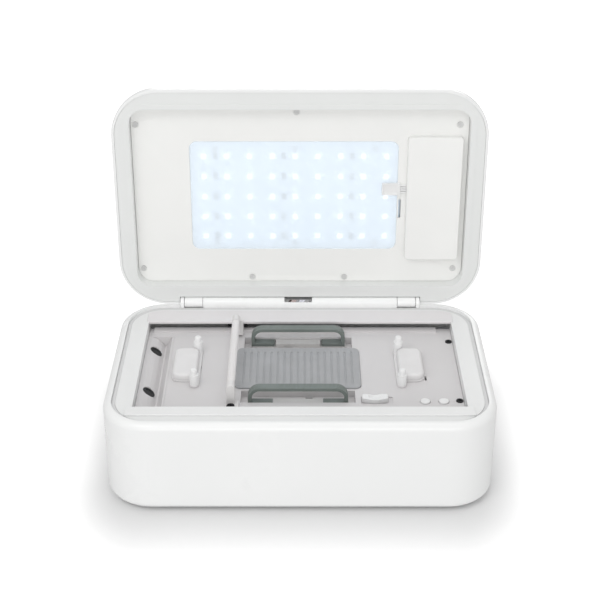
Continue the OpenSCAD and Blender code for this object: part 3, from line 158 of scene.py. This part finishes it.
bpy.ops.mesh.primitive_grid_add(x_subdivisions=8, y_subdivisions=8, size=FLOOR_WIDTH,
                                location=(0, 0, 0))
floor = bpy.context.object
floor.name = "paper_floor"
paper = bpy.data.materials.new("white_paper")
paper.use_nodes = True
paper_tree = paper.node_tree
paper_shader = paper_tree.nodes["Principled BSDF"]
paper_shader.inputs["Base Color"].default_value = PAPER_COLOUR
paper_shader.inputs["Roughness"].default_value = 0.9
floor.data.materials.append(paper)
print("floor:", FLOOR_WIDTH, "m wide")


# %% a helper for one step of arithmetic in a node tree
def math_node(tree, operation, a, b=None, c=None, clamp=False):
    """One math step; a, b and c may be sockets or numbers."""
    node = tree.nodes.new("ShaderNodeMath")
    node.operation = operation
    node.use_clamp = clamp
    for socket, value in zip(node.inputs, (a, b, c)):
        if isinstance(value, (int, float)):
            socket.default_value = value
        elif value is not None:
            tree.links.new(value, socket)
    return node.outputs[0]


# %% how far a point of the floor lies from the foot of the box
FOOT_INSET = 30 * MM  # the distance starts this far inside the foot, to round its corners
# the painted shadow on the floor so reaches less far to the sides than to the front
SIDE_STRETCH = 1.5  # it counts for more to the left and right than to the front and back

base_low, base_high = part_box("base_shell")
floor_place = paper_tree.nodes.new("ShaderNodeTexCoord")
floor_axes = paper_tree.nodes.new("ShaderNodeSeparateXYZ")
paper_tree.links.new(floor_place.outputs["Object"], floor_axes.inputs[0])


def beyond_squared(axis, half_width, stretch):
    """Square of the stretched distance beyond half_width along one axis."""
    distance = math_node(paper_tree, "ABSOLUTE", floor_axes.outputs[axis])
    distance = math_node(paper_tree, "SUBTRACT", distance, half_width - FOOT_INSET)
    distance = math_node(paper_tree, "MAXIMUM", distance, 0.0)
    distance = math_node(paper_tree, "MULTIPLY", distance, stretch)
    return math_node(paper_tree, "MULTIPLY", distance, distance)


squares = math_node(paper_tree, "ADD", beyond_squared("X", base_high.x, SIDE_STRETCH),
                    beyond_squared("Y", base_high.y, 1.0))
away = math_node(paper_tree, "SQRT", squares)
print("half width and depth of the foot:", round(base_high.x, 3), round(base_high.y, 3))

# %% the glow grows with that distance, and only the camera sees it; where it is weak, near the foot, the paper is darker: a painted shadow
GLOW_AND_PAINTED_SHADOW_RAMP = {"From Min": 35 * MM, "From Max": 115 * MM, "To Min": 0.03, "To Max": 0.45}

painted_shadow_ramp = paper_tree.nodes.new("ShaderNodeMapRange")
painted_shadow_ramp.interpolation_type = "SMOOTHSTEP"
for label, value in GLOW_AND_PAINTED_SHADOW_RAMP.items():
    painted_shadow_ramp.inputs[label].default_value = value
paper_tree.links.new(away, painted_shadow_ramp.inputs["Value"])
seen = paper_tree.nodes.new("ShaderNodeLightPath")
strength = math_node(paper_tree, "MULTIPLY", seen.outputs["Is Camera Ray"], painted_shadow_ramp.outputs[0])
glow = paper_tree.nodes.new("ShaderNodeEmission")
glow.inputs["Color"].default_value = (1, 1, 1, 1)
paper_tree.links.new(strength, glow.inputs["Strength"])
both = paper_tree.nodes.new("ShaderNodeAddShader")
paper_tree.links.new(paper_shader.outputs[0], both.inputs[0])
paper_tree.links.new(glow.outputs[0], both.inputs[1])
paper_tree.links.new(both.outputs[0], paper_tree.nodes["Material Output"].inputs["Surface"])
print("glow:", GLOW_AND_PAINTED_SHADOW_RAMP["To Min"], "at the foot,", GLOW_AND_PAINTED_SHADOW_RAMP["To Max"], "far away")

# %% [markdown]
# ## Shared surface effects
#
# Almost everything on this box is injection moulded. Such a skin is never one flat colour:
# it has a faint drift of tone where the melt cooled, a fine grain copied from the eroded
# steel of the mould, and a gloss that changes a little from place to place. Each material
# could be given its own noise for that. One node group does it for all of them instead, so
# the plastics look related, and each material only sets its own amounts.


# %% a helper that makes an empty group with named sockets
def new_group(name, inputs):
    """Group with a place and the given values in, and colour, roughness and height out."""
    group = bpy.data.node_groups.new(name, "ShaderNodeTree")
    sockets = group.interface
    sockets.new_socket(name="Place", in_out="INPUT", socket_type="NodeSocketVector")
    for label, value in inputs.items():
        kind = "NodeSocketColor" if isinstance(value, tuple) else "NodeSocketFloat"
        socket = sockets.new_socket(name=label, in_out="INPUT", socket_type=kind)
        socket.default_value = value
    sockets.new_socket(name="Colour", in_out="OUTPUT", socket_type="NodeSocketColor")
    sockets.new_socket(name="Roughness", in_out="OUTPUT", socket_type="NodeSocketFloat")
    sockets.new_socket(name="Height", in_out="OUTPUT", socket_type="NodeSocketFloat")
    given = group.nodes.new("NodeGroupInput").outputs
    made = group.nodes.new("NodeGroupOutput").inputs
    print("group:", name)
    return group, given, made


# %% helpers for what the groups share: noise, a mix of two colours and a range of gloss
def noise_node(tree, place, scale, detail, rough):
    """Noise texture on the given coordinates; scale may be a socket or a number."""
    node = tree.nodes.new("ShaderNodeTexNoise")
    node.inputs["Detail"].default_value = detail
    node.inputs["Roughness"].default_value = rough
    tree.links.new(place, node.inputs["Vector"])
    if isinstance(scale, (int, float)):
        node.inputs["Scale"].default_value = scale
    else:
        tree.links.new(scale, node.inputs["Scale"])
    return node.outputs["Fac"]


def colour_mix(tree, amount, a, b):
    """Mix colour a with colour b by an amount; all three are sockets."""
    node = tree.nodes.new("ShaderNodeMix")
    node.data_type = "RGBA"
    tree.links.new(amount, node.inputs[0])
    tree.links.new(a, node.inputs[6])
    tree.links.new(b, node.inputs[7])
    return node.outputs[2]


def gloss_range(tree, amount, given):
    """A roughness between the group's two gloss inputs."""
    node = tree.nodes.new("ShaderNodeMapRange")
    tree.links.new(amount, node.inputs["Value"])
    tree.links.new(given["Gloss low"], node.inputs["To Min"])
    tree.links.new(given["Gloss high"], node.inputs["To Max"])
    return node.outputs[0]


print("helpers for groups ready")

# %% moulded skin: drift of tone, grain and uneven gloss
DRIFT_CONTRAST, DRIFT_SHIFT = 2.2, -0.6
DRIFT_SHARE, GRAIN_SHARE = 0.82, 0.18

skin, given, made = new_group("Moulded skin", {
    "Colour": (0.9, 0.9, 0.9, 1), "Deep colour": (0.8, 0.8, 0.8, 1), "Drift": 30.0,
    "Grain": 2500.0, "Gloss low": 0.3, "Gloss high": 0.45})
drift = noise_node(skin, given["Place"], given["Drift"], detail=3.0, rough=0.55)
patch = math_node(skin, "MULTIPLY_ADD", drift, DRIFT_CONTRAST, DRIFT_SHIFT, clamp=True)
speck = noise_node(skin, given["Place"], given["Grain"], detail=2.0, rough=0.6)
depth = math_node(skin, "ADD", math_node(skin, "MULTIPLY", patch, DRIFT_SHARE),
                  math_node(skin, "MULTIPLY", speck, GRAIN_SHARE), clamp=True)
tone = colour_mix(skin, depth, given["Colour"], given["Deep colour"])
skin.links.new(tone, made["Colour"])
skin.links.new(gloss_range(skin, depth, given), made["Roughness"])
skin.links.new(speck, made["Height"])
print("nodes in it:", len(skin.nodes))

# %% [markdown]
# Metal is different. A ground rod, a turned screw head or a rolled bracket shows fine lines
# in one direction. A picture of brushed metal would do, but it needs a file and an unwrapped
# mesh. Stretching a noise along one axis gives such lines too: the same group serves all
# metals, and the material says which way the lines run through its Mapping node.

# %% fine lines: stretched noise for ground and rolled metal
lines, given, made = new_group("Fine lines", {
    "Colour": (0.6, 0.6, 0.6, 1), "Line colour": (0.5, 0.5, 0.5, 1), "Lines": 400.0,
    "Gloss low": 0.25, "Gloss high": 0.45})
streak = noise_node(lines, given["Place"], given["Lines"], detail=4.0, rough=0.65)
tone = colour_mix(lines, streak, given["Colour"], given["Line colour"])
lines.links.new(tone, made["Colour"])
lines.links.new(gloss_range(lines, streak, given), made["Roughness"])
lines.links.new(streak, made["Height"])
print("nodes in it:", len(lines.nodes))

# %% [markdown]
# ## Materials
#
# A whole material could sit in a group, but an exporter reads the shader only in the
# material itself. So the shader stays there, and the group feeds it with a colour, a
# roughness and a height. All patterns read Object coordinates, so they stay put on a piece
# when it moves.


# %% a material around one of the shared groups
def grouped(name, group, values, bump, relief=0.6, stretch=(1, 1, 1), shift=(0, 0, 0),
            metallic=0.0, coat=0.0, specular=0.5):
    """Principled material fed by a group; bump is the depth of its height in metres."""
    material = bpy.data.materials.new(name)
    material.use_nodes = True
    tree = material.node_tree
    shader = tree.nodes["Principled BSDF"]
    place = tree.nodes.new("ShaderNodeTexCoord")
    mapping = tree.nodes.new("ShaderNodeMapping")
    mapping.inputs["Location"].default_value = shift
    mapping.inputs["Scale"].default_value = stretch
    effect = tree.nodes.new("ShaderNodeGroup")
    effect.node_tree = group
    for label, value in values.items():
        effect.inputs[label].default_value = value
    height = tree.nodes.new("ShaderNodeBump")
    height.inputs["Strength"].default_value = relief
    height.inputs["Distance"].default_value = bump
    tree.links.new(place.outputs["Object"], mapping.inputs["Vector"])
    tree.links.new(mapping.outputs[0], effect.inputs["Place"])
    tree.links.new(effect.outputs["Colour"], shader.inputs["Base Color"])
    tree.links.new(effect.outputs["Roughness"], shader.inputs["Roughness"])
    tree.links.new(effect.outputs["Height"], height.inputs["Height"])
    tree.links.new(height.outputs[0], shader.inputs["Normal"])
    shader.inputs["Metallic"].default_value = metallic
    shader.inputs["Coat Weight"].default_value = coat
    shader.inputs["Specular IOR Level"].default_value = specular
    return material


# %% plastic is the first use of it, and a table can list many plastics
def plastic(name, colour, deep, gloss, drift, grain, bump, coat=0.0):
    """Moulded plastic or rubber; bump is in millimetres."""
    values = {"Colour": (*colour, 1), "Deep colour": (*deep, 1), "Drift": drift,
              "Grain": grain, "Gloss low": gloss[0], "Gloss high": gloss[1]}
    return grouped(name, skin, values, bump * MM, coat=coat)


finish = {}


def add_finishes(maker, table):
    """Make each finish of a table; its name is also the name of the material."""
    for name, values in table.items():
        finish[name] = maker(name, *values)
    print("finishes:", ", ".join(table))


# %% [markdown]
# The outer shells are white, with a soft gloss that blurs the lamps into broad sheens. The
# inner frame is the same white with a satin grain, and the deck a light grey with a trace of
# pink. The clamps are a grey-green plastic, the darkest large pieces in the box. One white
# for all would be simpler, but neighbouring pieces would then melt into each other.

# %% whites and greys
# colour, deeper colour, gloss from and to, scale of the drift, scale of the grain, depth of
# the grain in mm, and a clear coat where there is one
add_finishes(plastic, {
    "shell_white": (
        (0.88, 0.885, 0.88), (0.85, 0.855, 0.85), (0.24, 0.34), 9.0, 3200.0, 0.008, 0.15),
    "frame_white": (
        (0.83, 0.835, 0.83), (0.79, 0.795, 0.79), (0.42, 0.55), 14.0, 2600.0, 0.02),
    "deck_grey": (
        (0.68, 0.665, 0.668), (0.645, 0.63, 0.633), (0.48, 0.62), 18.0, 2400.0, 0.03),
    # a lighter copy of deck_grey: painted light on the rear rail cover, which lies in the
    # lid's shade
    "rail_grey": (
        (0.79, 0.772, 0.777), (0.755, 0.737, 0.742), (0.48, 0.62), 18.0, 2400.0, 0.03),
    "lid_frame_white": (
        (0.80, 0.81, 0.80), (0.765, 0.775, 0.765), (0.3, 0.42), 12.0, 3000.0, 0.01, 0.1),
    # a lighter copy of shell_white: painted light on the hinge barrel and leaves, in the
    # shade under the lid
    "barrel_white": (
        (0.95, 0.955, 0.95), (0.925, 0.93, 0.925), (0.24, 0.34), 20.0, 3200.0, 0.008, 0.15),
    "arm_white": (
        (0.76, 0.745, 0.738), (0.72, 0.705, 0.698), (0.35, 0.5), 60.0, 2600.0, 0.01),
    "cover_screw_grey": (
        (0.70, 0.70, 0.695), (0.63, 0.63, 0.625), (0.4, 0.55), 200.0, 2600.0, 0.03),
    "gasket_grey": (
        (0.70, 0.70, 0.70), (0.66, 0.66, 0.66), (0.6, 0.75), 40.0, 1800.0, 0.03),
    "post_white": (
        (0.86, 0.86, 0.86), (0.82, 0.82, 0.82), (0.3, 0.42), 40.0, 3000.0, 0.01, 0.1),
    "pad_white": (
        (0.78, 0.77, 0.77), (0.73, 0.72, 0.72), (0.5, 0.65), 60.0, 2200.0, 0.03),
    "panel_white": (
        (0.91, 0.91, 0.892), (0.88, 0.882, 0.864), (0.5, 0.65), 22.0, 1800.0, 0.03),
    "slide_white": (
        (0.66, 0.65, 0.64), (0.6, 0.59, 0.58), (0.4, 0.55), 40.0, 2400.0, 0.03),
    "gear_ivory": (
        (0.66, 0.6, 0.46), (0.6, 0.54, 0.4), (0.35, 0.5), 60.0, 2400.0, 0.03),
    "clamp_green": (
        (0.185, 0.212, 0.198), (0.15, 0.175, 0.162), (0.38, 0.52), 40.0, 2800.0, 0.03),
})

# %% [markdown]
# The dark pieces are rubber, moulded nylon and painted board. None is pure black: real
# rubber still sends back a little light, and a black of zero would look like a hole.

# %% darks
add_finishes(plastic, {
    "dark_rubber": (
        (0.022, 0.022, 0.024), (0.035, 0.035, 0.036), (0.55, 0.75), 80.0, 1800.0, 0.06),
    "mat_grey": (
        (0.42, 0.425, 0.435), (0.37, 0.375, 0.385), (0.6, 0.78), 60.0, 2000.0, 0.06),
    "belt_black": (
        (0.012, 0.012, 0.013), (0.03, 0.03, 0.03), (0.5, 0.7), 80.0, 1800.0, 0.06),
    "carriage_dark": (
        (0.04, 0.042, 0.047), (0.06, 0.062, 0.066), (0.35, 0.5), 60.0, 2400.0, 0.03),
    "board_green": (
        (0.012, 0.08, 0.03), (0.02, 0.11, 0.045), (0.25, 0.4), 150.0, 900.0, 0.02, 0.3),
    "parts_dark": (
        (0.018, 0.018, 0.02), (0.03, 0.03, 0.032), (0.4, 0.6), 120.0, 2600.0, 0.03),
    "inlet_black": (
        (0.012, 0.012, 0.012), (0.022, 0.022, 0.022), (0.35, 0.5), 80.0, 2400.0, 0.03),
})

# %% [markdown]
# The lamp board is printed white over its copper and looks slightly blue. Its lamps are
# small packages with a clear dome. Real lamps inside would light the whole lid and cost much
# time, so the packages only glow a little on their own, enough to stand out as dots.

# %% board and lamps
LAMP_GLOW = ((0.9, 0.95, 1.0, 1), 1.1)  # colour and strength

add_finishes(plastic, {
    "led_board_blue": (
        (0.86, 0.91, 0.97), (0.82, 0.88, 0.95), (0.3, 0.45), 45.0, 1500.0, 0.02, 0.2),
    "led_white": (
        (0.93, 0.95, 0.99), (0.88, 0.92, 0.98), (0.15, 0.3), 200.0, 1500.0, 0.01, 0.4),
})
bright = finish["led_white"].node_tree.nodes["Principled BSDF"].inputs
bright["Emission Color"].default_value, bright["Emission Strength"].default_value = LAMP_GLOW

# %% [markdown]
# The metals are the rods, the motor, the magnet, the pins and the screws. One steel for all
# would do for colour, but the lines tell how each was made: they run round the bar on a
# ground rod, and straight across on a screw head.

# %% metal is the second use of the material maker
METAL_BUMP = 0.02 * MM


def metal(name, colour, line, gloss, stretch, count):
    """Metal with fine lines; stretch is small along the lines."""
    values = {"Colour": (*colour, 1), "Line colour": (*line, 1), "Lines": count,
              "Gloss low": gloss[0], "Gloss high": gloss[1]}
    return grouped(name, lines, values, METAL_BUMP, stretch=stretch, metallic=1.0)


# %% metals
# colour, colour of the lines, gloss from and to, stretch of the noise, number of lines
add_finishes(metal, {
    "screw_steel": (
        (0.56, 0.56, 0.57), (0.42, 0.42, 0.43), (0.28, 0.45), (1, 0.2, 1), 1500.0),
    "black_steel": (
        (0.03, 0.03, 0.033), (0.06, 0.06, 0.065), (0.3, 0.5), (1, 0.2, 1), 1500.0),
    "rod_steel": (
        (0.6, 0.61, 0.63), (0.46, 0.47, 0.49), (0.15, 0.3), (8.0, 0.5, 0.5), 500.0),
    "motor_metal": (
        (0.5, 0.51, 0.53), (0.38, 0.39, 0.41), (0.3, 0.48), (1, 1, 0.1), 700.0),
    "magnet_grey": (
        (0.45, 0.45, 0.47), (0.35, 0.35, 0.37), (0.25, 0.4), (1, 1, 0.3), 900.0),
})

# %% [markdown]
# The window in the lid is a frosted sheet. Light passes through it, but its rough faces
# scatter the view, so the board behind reads as soft dots. A half see-through paint would
# show the board too sharp, so a rough, clear Principled shader does it. Its transmission
# stays a plain number, and only the roughness carries the fine frost pattern. Only part of
# the light goes through. The sheet also glows a faint cool white of its own: painted light
# that stands in for the light a milky sheet sends back from inside.

# %% frosted window
FROST_CLEARNESS = 0.55
FROST_IOR = 1.25  # a little lower than acrylic, for a calmer view of the board
# the sheet's glow is painted light: an emission on a window that is no lamp
FROST_PAINTED_GLOW = ((0.86, 0.94, 1.0, 1), 0.14)  # colour and strength of the light from inside

add_finishes(plastic, {
    "lens_frost": (
        (0.89, 0.93, 0.965), (0.88, 0.922, 0.96), (0.13, 0.17), 60.0, 3000.0, 0.0003),
})
frost = finish["lens_frost"].node_tree.nodes["Principled BSDF"].inputs
frost["Transmission Weight"].default_value = FROST_CLEARNESS
frost["IOR"].default_value = FROST_IOR
frost["Emission Color"].default_value, frost["Emission Strength"].default_value = FROST_PAINTED_GLOW

# %% [markdown]
# ## Which piece wears which finish
#
# The record of the CAD model names a material slot for each piece, and most finishes have
# the name of their slot. Each piece could be given its finish by hand, but reading the record
# keeps the two lists together. A few pieces differ in tone from the others of their slot in
# the picture, and these have a finish of their own. The rear rail cover and the hinge barrel
# and leaves sit in the lid's shade, and their finishes are lighter copies: painted light.

# %% hand out the finishes
OWN_FINISH = {
    "rear_rail_cover": "rail_grey", "lid_frame": "lid_frame_white",
    "hinge_spine": "barrel_white", "hinge_leaves": "barrel_white",
    "panel_screws": "cover_screw_grey", "wiper_arm": "arm_white",
}

slot_of = {s["node"]: s["material_slot"] for s in record["subparts"]}
for name, piece in nodes.items():
    kind = finish.get(OWN_FINISH.get(name, slot_of[name]))
    if kind is not None:
        piece.data.materials.clear()
        piece.data.materials.append(kind)
print("pieces with a finish:", sum(1 for piece in nodes.values() if piece.data.materials))

# %% [markdown]
# ## Soft edges
#
# No moulded edge is truly sharp. CAD leaves these edges square because a radius of half a
# millimetre would add thousands of faces there. A shader can fake such an edge, but the
# outline would stay hard. So a Bevel modifier rounds it here, after a Weld that joins the
# loose triangles, and the angle limit keeps it off curved walls.

# %% bevels on the moulded pieces
WELD_REACH = 0.005 * MM  # corners closer than this are one corner
SHARP_FROM = math.radians(40)  # flatter edges than this belong to curved walls
EDGE_STEPS = 3

edge_width = {  # in mm
    "top_bezel": 0.3, "front_rail_cover": 0.5, "rear_rail_cover": 0.4, "deck_plate": 0.3,
    "side_block": 0.5, "rim_gasket": 0.25, "front_clamp": 0.45, "rear_clamp": 0.45,
    "wiper_arm": 0.5, "wiper_carriages": 0.4, "left_jaw": 0.4, "right_jaw": 0.4,
    "lid_frame": 0.8, "lid_panel": 0.4, "driver_cover": 0.5, "hinge_spine": 0.4,
    "hinge_leaves": 0.4, "lead_connector": 0.35, "phone_mat": 0.3, "left_posts": 0.35,
    "right_posts": 0.35, "release_tab": 0.25, "led_lens": 0.2, "led_board": 0.15,
    "mechanism_tray": 0.3, "bottom_cover": 0.3, "front_clamp_rack": 0.2,
    "rear_clamp_rack": 0.2,
}
for name, width in edge_width.items():
    weld = nodes[name].modifiers.new("join", "WELD")
    weld.merge_threshold = WELD_REACH
    soft = nodes[name].modifiers.new("soft_edge", "BEVEL")
    soft.width = width * MM
    soft.segments = EDGE_STEPS
    soft.limit_method = "ANGLE"
    soft.angle_limit = SHARP_FROM
    soft.use_clamp_overlap = True
    soft.harden_normals = False
print("softened", len(edge_width), "pieces")

# %% [markdown]
# ## The cloth sleeve of the wiper
#
# The wiper is a hard bar inside a soft sleeve: a knitted cloth over a thin layer of foam.
# CAD holds its room as a plain tube. The loops of the knit are far below a millimetre, so
# modelling them would cost millions of faces. They are bumps in the material instead: two
# waves, one round the bar and one along it, cross each other, and some fuzz breaks them up.
# Where the bumps are low the colour is darker, as painted shade in the hollows of the knit.

# %% the room for the sleeve
sleeve_low, sleeve_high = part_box("wiper_sleeve")
sleeve_mid = (sleeve_low + sleeve_high) / 2
sleeve_radius = (sleeve_high.x - sleeve_low.x) / 2
sleeve_length = sleeve_high.y - sleeve_low.y
print("sleeve radius", round(sleeve_radius, 5), "length", round(sleeve_length, 4))

# %% weave: over-and-under bumps round a roller and along it, with painted shade in the hollows
FUZZ_SCALE = 900.0
WEAVE_SHARE, FUZZ_SHARE = 0.7, 0.4
HOLLOW_ROUGHNESS, YARN_SMOOTHER = 0.95, 0.2

weave, given, made = new_group("Woven round a bar", {
    "Colour": (0.85, 0.84, 0.83, 1), "Painted hollow shade": (0.7, 0.69, 0.68, 1),
    "Threads round": 44.0, "Threads along": 13960.0})
axes = weave.nodes.new("ShaderNodeSeparateXYZ")
weave.links.new(given["Place"], axes.inputs[0])
angle = math_node(weave, "ARCTAN2", axes.outputs["X"], axes.outputs["Z"])
across = math_node(weave, "SINE", math_node(weave, "MULTIPLY", angle, given["Threads round"]))
along = math_node(weave, "SINE",
                  math_node(weave, "MULTIPLY", axes.outputs["Y"], given["Threads along"]))
crossing = math_node(weave, "MULTIPLY_ADD", math_node(weave, "MULTIPLY", across, along),
                     0.5, 0.5)
fuzz = noise_node(weave, given["Place"], FUZZ_SCALE, detail=4.0, rough=0.65)
yarn_height_and_shade = math_node(weave, "ADD", math_node(weave, "MULTIPLY", crossing, WEAVE_SHARE),
                 math_node(weave, "MULTIPLY", fuzz, FUZZ_SHARE), clamp=True)
# the low places of the knit get the darker colour: painted shade in its hollows
tone = colour_mix(weave, yarn_height_and_shade, given["Painted hollow shade"], given["Colour"])
weave.links.new(tone, made["Colour"])
worn = math_node(weave, "MULTIPLY_ADD", yarn_height_and_shade, -YARN_SMOOTHER, HOLLOW_ROUGHNESS)
weave.links.new(worn, made["Roughness"])
weave.links.new(yarn_height_and_shade, made["Height"])
print("nodes in it:", len(weave.nodes))

# %% the cloth, with its pattern centred on the bar
cloth = grouped(
    "sleeve_cloth", weave,
    {"Colour": (0.87, 0.85, 0.845, 1), "Painted hollow shade": (0.70, 0.68, 0.675, 1)},
    0.12 * MM, relief=0.7, shift=(-sleeve_mid.x, 0, -sleeve_mid.z), specular=0.3)
cloth.node_tree.nodes["Principled BSDF"].inputs["Sheen Weight"].default_value = 0.25
finish["sleeve_cloth"] = cloth
print("cloth:", cloth.name)

# %% [markdown]
# A sleeve with a stitched hem at each end is a turned shape. Spinning a profile would do,
# but here it is drawn ring by ring from one circle: each step moves the ring along the bar
# and sets its radius. The first and the last ring have the radius of the bore and close the
# tube on the inside, so that the sleeve has a real thickness.


# %% two small helpers for modelling by hand
def alone(obj):
    """Select one object and nothing else."""
    bpy.ops.object.select_all(action="DESELECT")
    obj.select_set(True)
    bpy.context.view_layer.objects.active = obj


def settle(obj):
    """Put the object's place into its mesh, so that the object sits at the origin."""
    alone(obj)
    bpy.ops.object.transform_apply(location=True, rotation=True, scale=True)
    print("settled:", obj.name)


# %% the rings: distance from the end, and radius
BORE = 2.12 * MM  # radius of the hole for the bar
HEM = 4.2 * MM  # length of the stitched hem
HEM_END = 1.7 * HEM  # here the sleeve has its full radius again
BODY_STEPS = 30  # rings between the two hems
SWELL = 0.016  # the cloth dips by up to this share of the radius

hem_rings = [
    (0.0, sleeve_radius * 0.90), (0.25 * MM, sleeve_radius * 0.965),
    (HEM * 0.55, sleeve_radius * 0.985), (HEM * 0.85, sleeve_radius * 0.975),
    (HEM, sleeve_radius * 0.93), (HEM * 1.15, sleeve_radius * 0.965),
    (HEM_END, sleeve_radius),
]
body_length = sleeve_length - 2 * HEM_END
rings = list(hem_rings)
for k in range(1, BODY_STEPS):
    dip = SWELL * (0.5 + 0.5 * math.sin(k * 1.9)) * (0.5 + 0.5 * math.cos(k * 0.7))
    rings.append((HEM_END + body_length * k / BODY_STEPS, sleeve_radius * (1.0 - dip)))
rings += [(sleeve_length - y, r) for y, r in reversed(hem_rings)]
rings += [(sleeve_length, BORE), (0.0, BORE)]
print("rings:", len(rings))

# %% the sleeve, ring by ring
RING_CORNERS = 72

bpy.ops.object.select_all(action="DESELECT")
bpy.ops.mesh.primitive_circle_add(
    vertices=RING_CORNERS, radius=BORE, fill_type="NOTHING",
    location=(sleeve_mid.x, sleeve_low.y, sleeve_mid.z), rotation=(math.pi / 2, 0, 0))
sleeve = bpy.context.object
sleeve.name = "cloth_sleeve"
bpy.ops.object.mode_set(mode="EDIT")
bpy.ops.mesh.select_all(action="SELECT")
here, radius = 0.0, BORE
for y, r in rings:
    bpy.ops.mesh.extrude_region_move(TRANSFORM_OT_translate={"value": (0, y - here, 0)})
    k = r / radius
    bpy.ops.transform.resize(
        value=(k, 1, k), center_override=(sleeve_mid.x, sleeve_low.y + y, sleeve_mid.z))
    here, radius = y, r
bpy.ops.mesh.select_all(action="SELECT")
bpy.ops.mesh.remove_doubles(threshold=0.002 * MM)
bpy.ops.mesh.normals_make_consistent(inside=False)
bpy.ops.object.mode_set(mode="OBJECT")
settle(sleeve)

# %% small gathers where the cloth is drawn over the foam
GATHER_WIDTH = 4.5 * MM
GATHER_DEPTH = 0.22 * MM
GATHER_MIDDLE = 0.75  # above one half, so that the cloth dips more than it rises

puckers = bpy.data.textures.new("puckers", type="CLOUDS")
puckers.noise_scale = GATHER_WIDTH
gather = sleeve.modifiers.new("gathers", "DISPLACE")
gather.texture = puckers
gather.texture_coords = "LOCAL"
gather.strength = GATHER_DEPTH
gather.mid_level = GATHER_MIDDLE
alone(sleeve)
bpy.ops.object.modifier_apply(modifier="gathers")
bpy.ops.object.shade_smooth()
sleeve.data.materials.append(cloth)
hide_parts("wiper_sleeve")
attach(sleeve, "roller")
print("sleeve:", len(sleeve.data.polygons), "faces,", round(sleeve_length / MM, 1), "mm long")

# %% [markdown]
# ## Wires in the hinge window
#
# The lamp board in the lid is fed from the base by a loose flat bundle. It crosses the hinge
# in the open window in the middle of the barrel, on the slant, so that it can twist as the
# lid moves. A wire could be a chain of cylinders, but its bends would show corners. So each
# is a smooth curve with a round section, made into a mesh, in its own plastic.

# %% wire plastics
WIRE_GLOSS = (0.3, 0.45)
WIRE_COLOURS = {  # colour and deeper colour
    "wire_brown": ((0.055, 0.035, 0.032), (0.075, 0.05, 0.045)),
    "wire_rose": ((0.62, 0.52, 0.50), (0.56, 0.46, 0.45)),
    "wire_grey": ((0.48, 0.48, 0.49), (0.42, 0.42, 0.43)),
    "wire_pearl": ((0.82, 0.82, 0.88), (0.76, 0.76, 0.83)),
}
add_finishes(plastic, {
    name: (colour, deep, WIRE_GLOSS, 300.0, 2600.0, 0.01)
    for name, (colour, deep) in WIRE_COLOURS.items()})

# %% the way of one wire: up out of the base, over the hinge and down behind it
LEAN = 3.0 * MM  # how far a wire slants on its way across

wire_low, wire_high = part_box("hinge_wires")


def wire_path(left, r):
    """Points of a wire of radius r that starts at left."""
    front, back = wire_low.y + r, wire_high.y - r
    foot, top = wire_low.z, wire_high.z - r
    return [
        (left - 0.3 * MM, front, foot + 0.5 * MM),
        (left, front, foot + 3.0 * MM),
        (left + LEAN * 0.35, front + 0.3 * MM, top - 1.2 * MM),
        (left + LEAN * 0.6, front + 1.4 * MM, top),
        (left + LEAN, back - 0.4 * MM, top - 1.0 * MM),
        (left + LEAN * 1.05, back, top - 3.5 * MM),
    ]


print("room for the wires:", [round(v / MM, 1) for v in (wire_high - wire_low)], "mm")

# %% one round wire
WIRE_SMOOTHNESS = 6  # steps between two points of the path
WIRE_ROUNDNESS = 3  # more makes the section rounder


def round_wire(path, r, plastic_name):
    """Smooth curve through the path with a round section, as a mesh."""
    bpy.ops.object.select_all(action="DESELECT")
    bpy.ops.curve.primitive_nurbs_path_add(location=(0, 0, 0))
    curve = bpy.context.object.data
    curve.splines.clear()
    run = curve.splines.new("NURBS")
    run.points.add(len(path) - 1)
    for point, place in zip(run.points, path):
        point.co = (*place, 1)
    run.order_u = 4
    run.use_endpoint_u = True
    run.resolution_u = WIRE_SMOOTHNESS
    curve.bevel_depth = r
    curve.bevel_resolution = WIRE_ROUNDNESS
    curve.use_fill_caps = True
    bpy.ops.object.convert(target="MESH")
    bpy.ops.object.shade_smooth()
    wire = bpy.context.object
    wire.data.materials.clear()
    wire.data.materials.append(finish[plastic_name])
    return wire


# %% the slanted bundle
# how far each wire lies from the left, its radius, both in mm, and its plastic
WIRES = [
    (0.0, 0.75, "wire_brown"), (1.9, 1.0, "wire_rose"), (3.9, 1.0, "wire_rose"),
    (6.0, 0.95, "wire_grey"), (8.3, 1.15, "wire_pearl"), (10.6, 1.15, "wire_pearl"),
    (12.9, 0.95, "wire_grey"), (14.9, 0.85, "wire_grey"),
]
bundle = [round_wire(wire_path(wire_low.x + (offset + r) * MM, r * MM), r * MM, name)
          for offset, r, name in WIRES]
bpy.ops.object.select_all(action="DESELECT")
for wire in bundle:
    wire.select_set(True)
bpy.context.view_layer.objects.active = bundle[0]
bpy.ops.object.join()
loom = bpy.context.object
loom.name = "wire_bundle"
settle(loom)
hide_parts("hinge_wires")
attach(loom, "base")
print("wires:", len(WIRES), "faces:", len(loom.data.polygons))
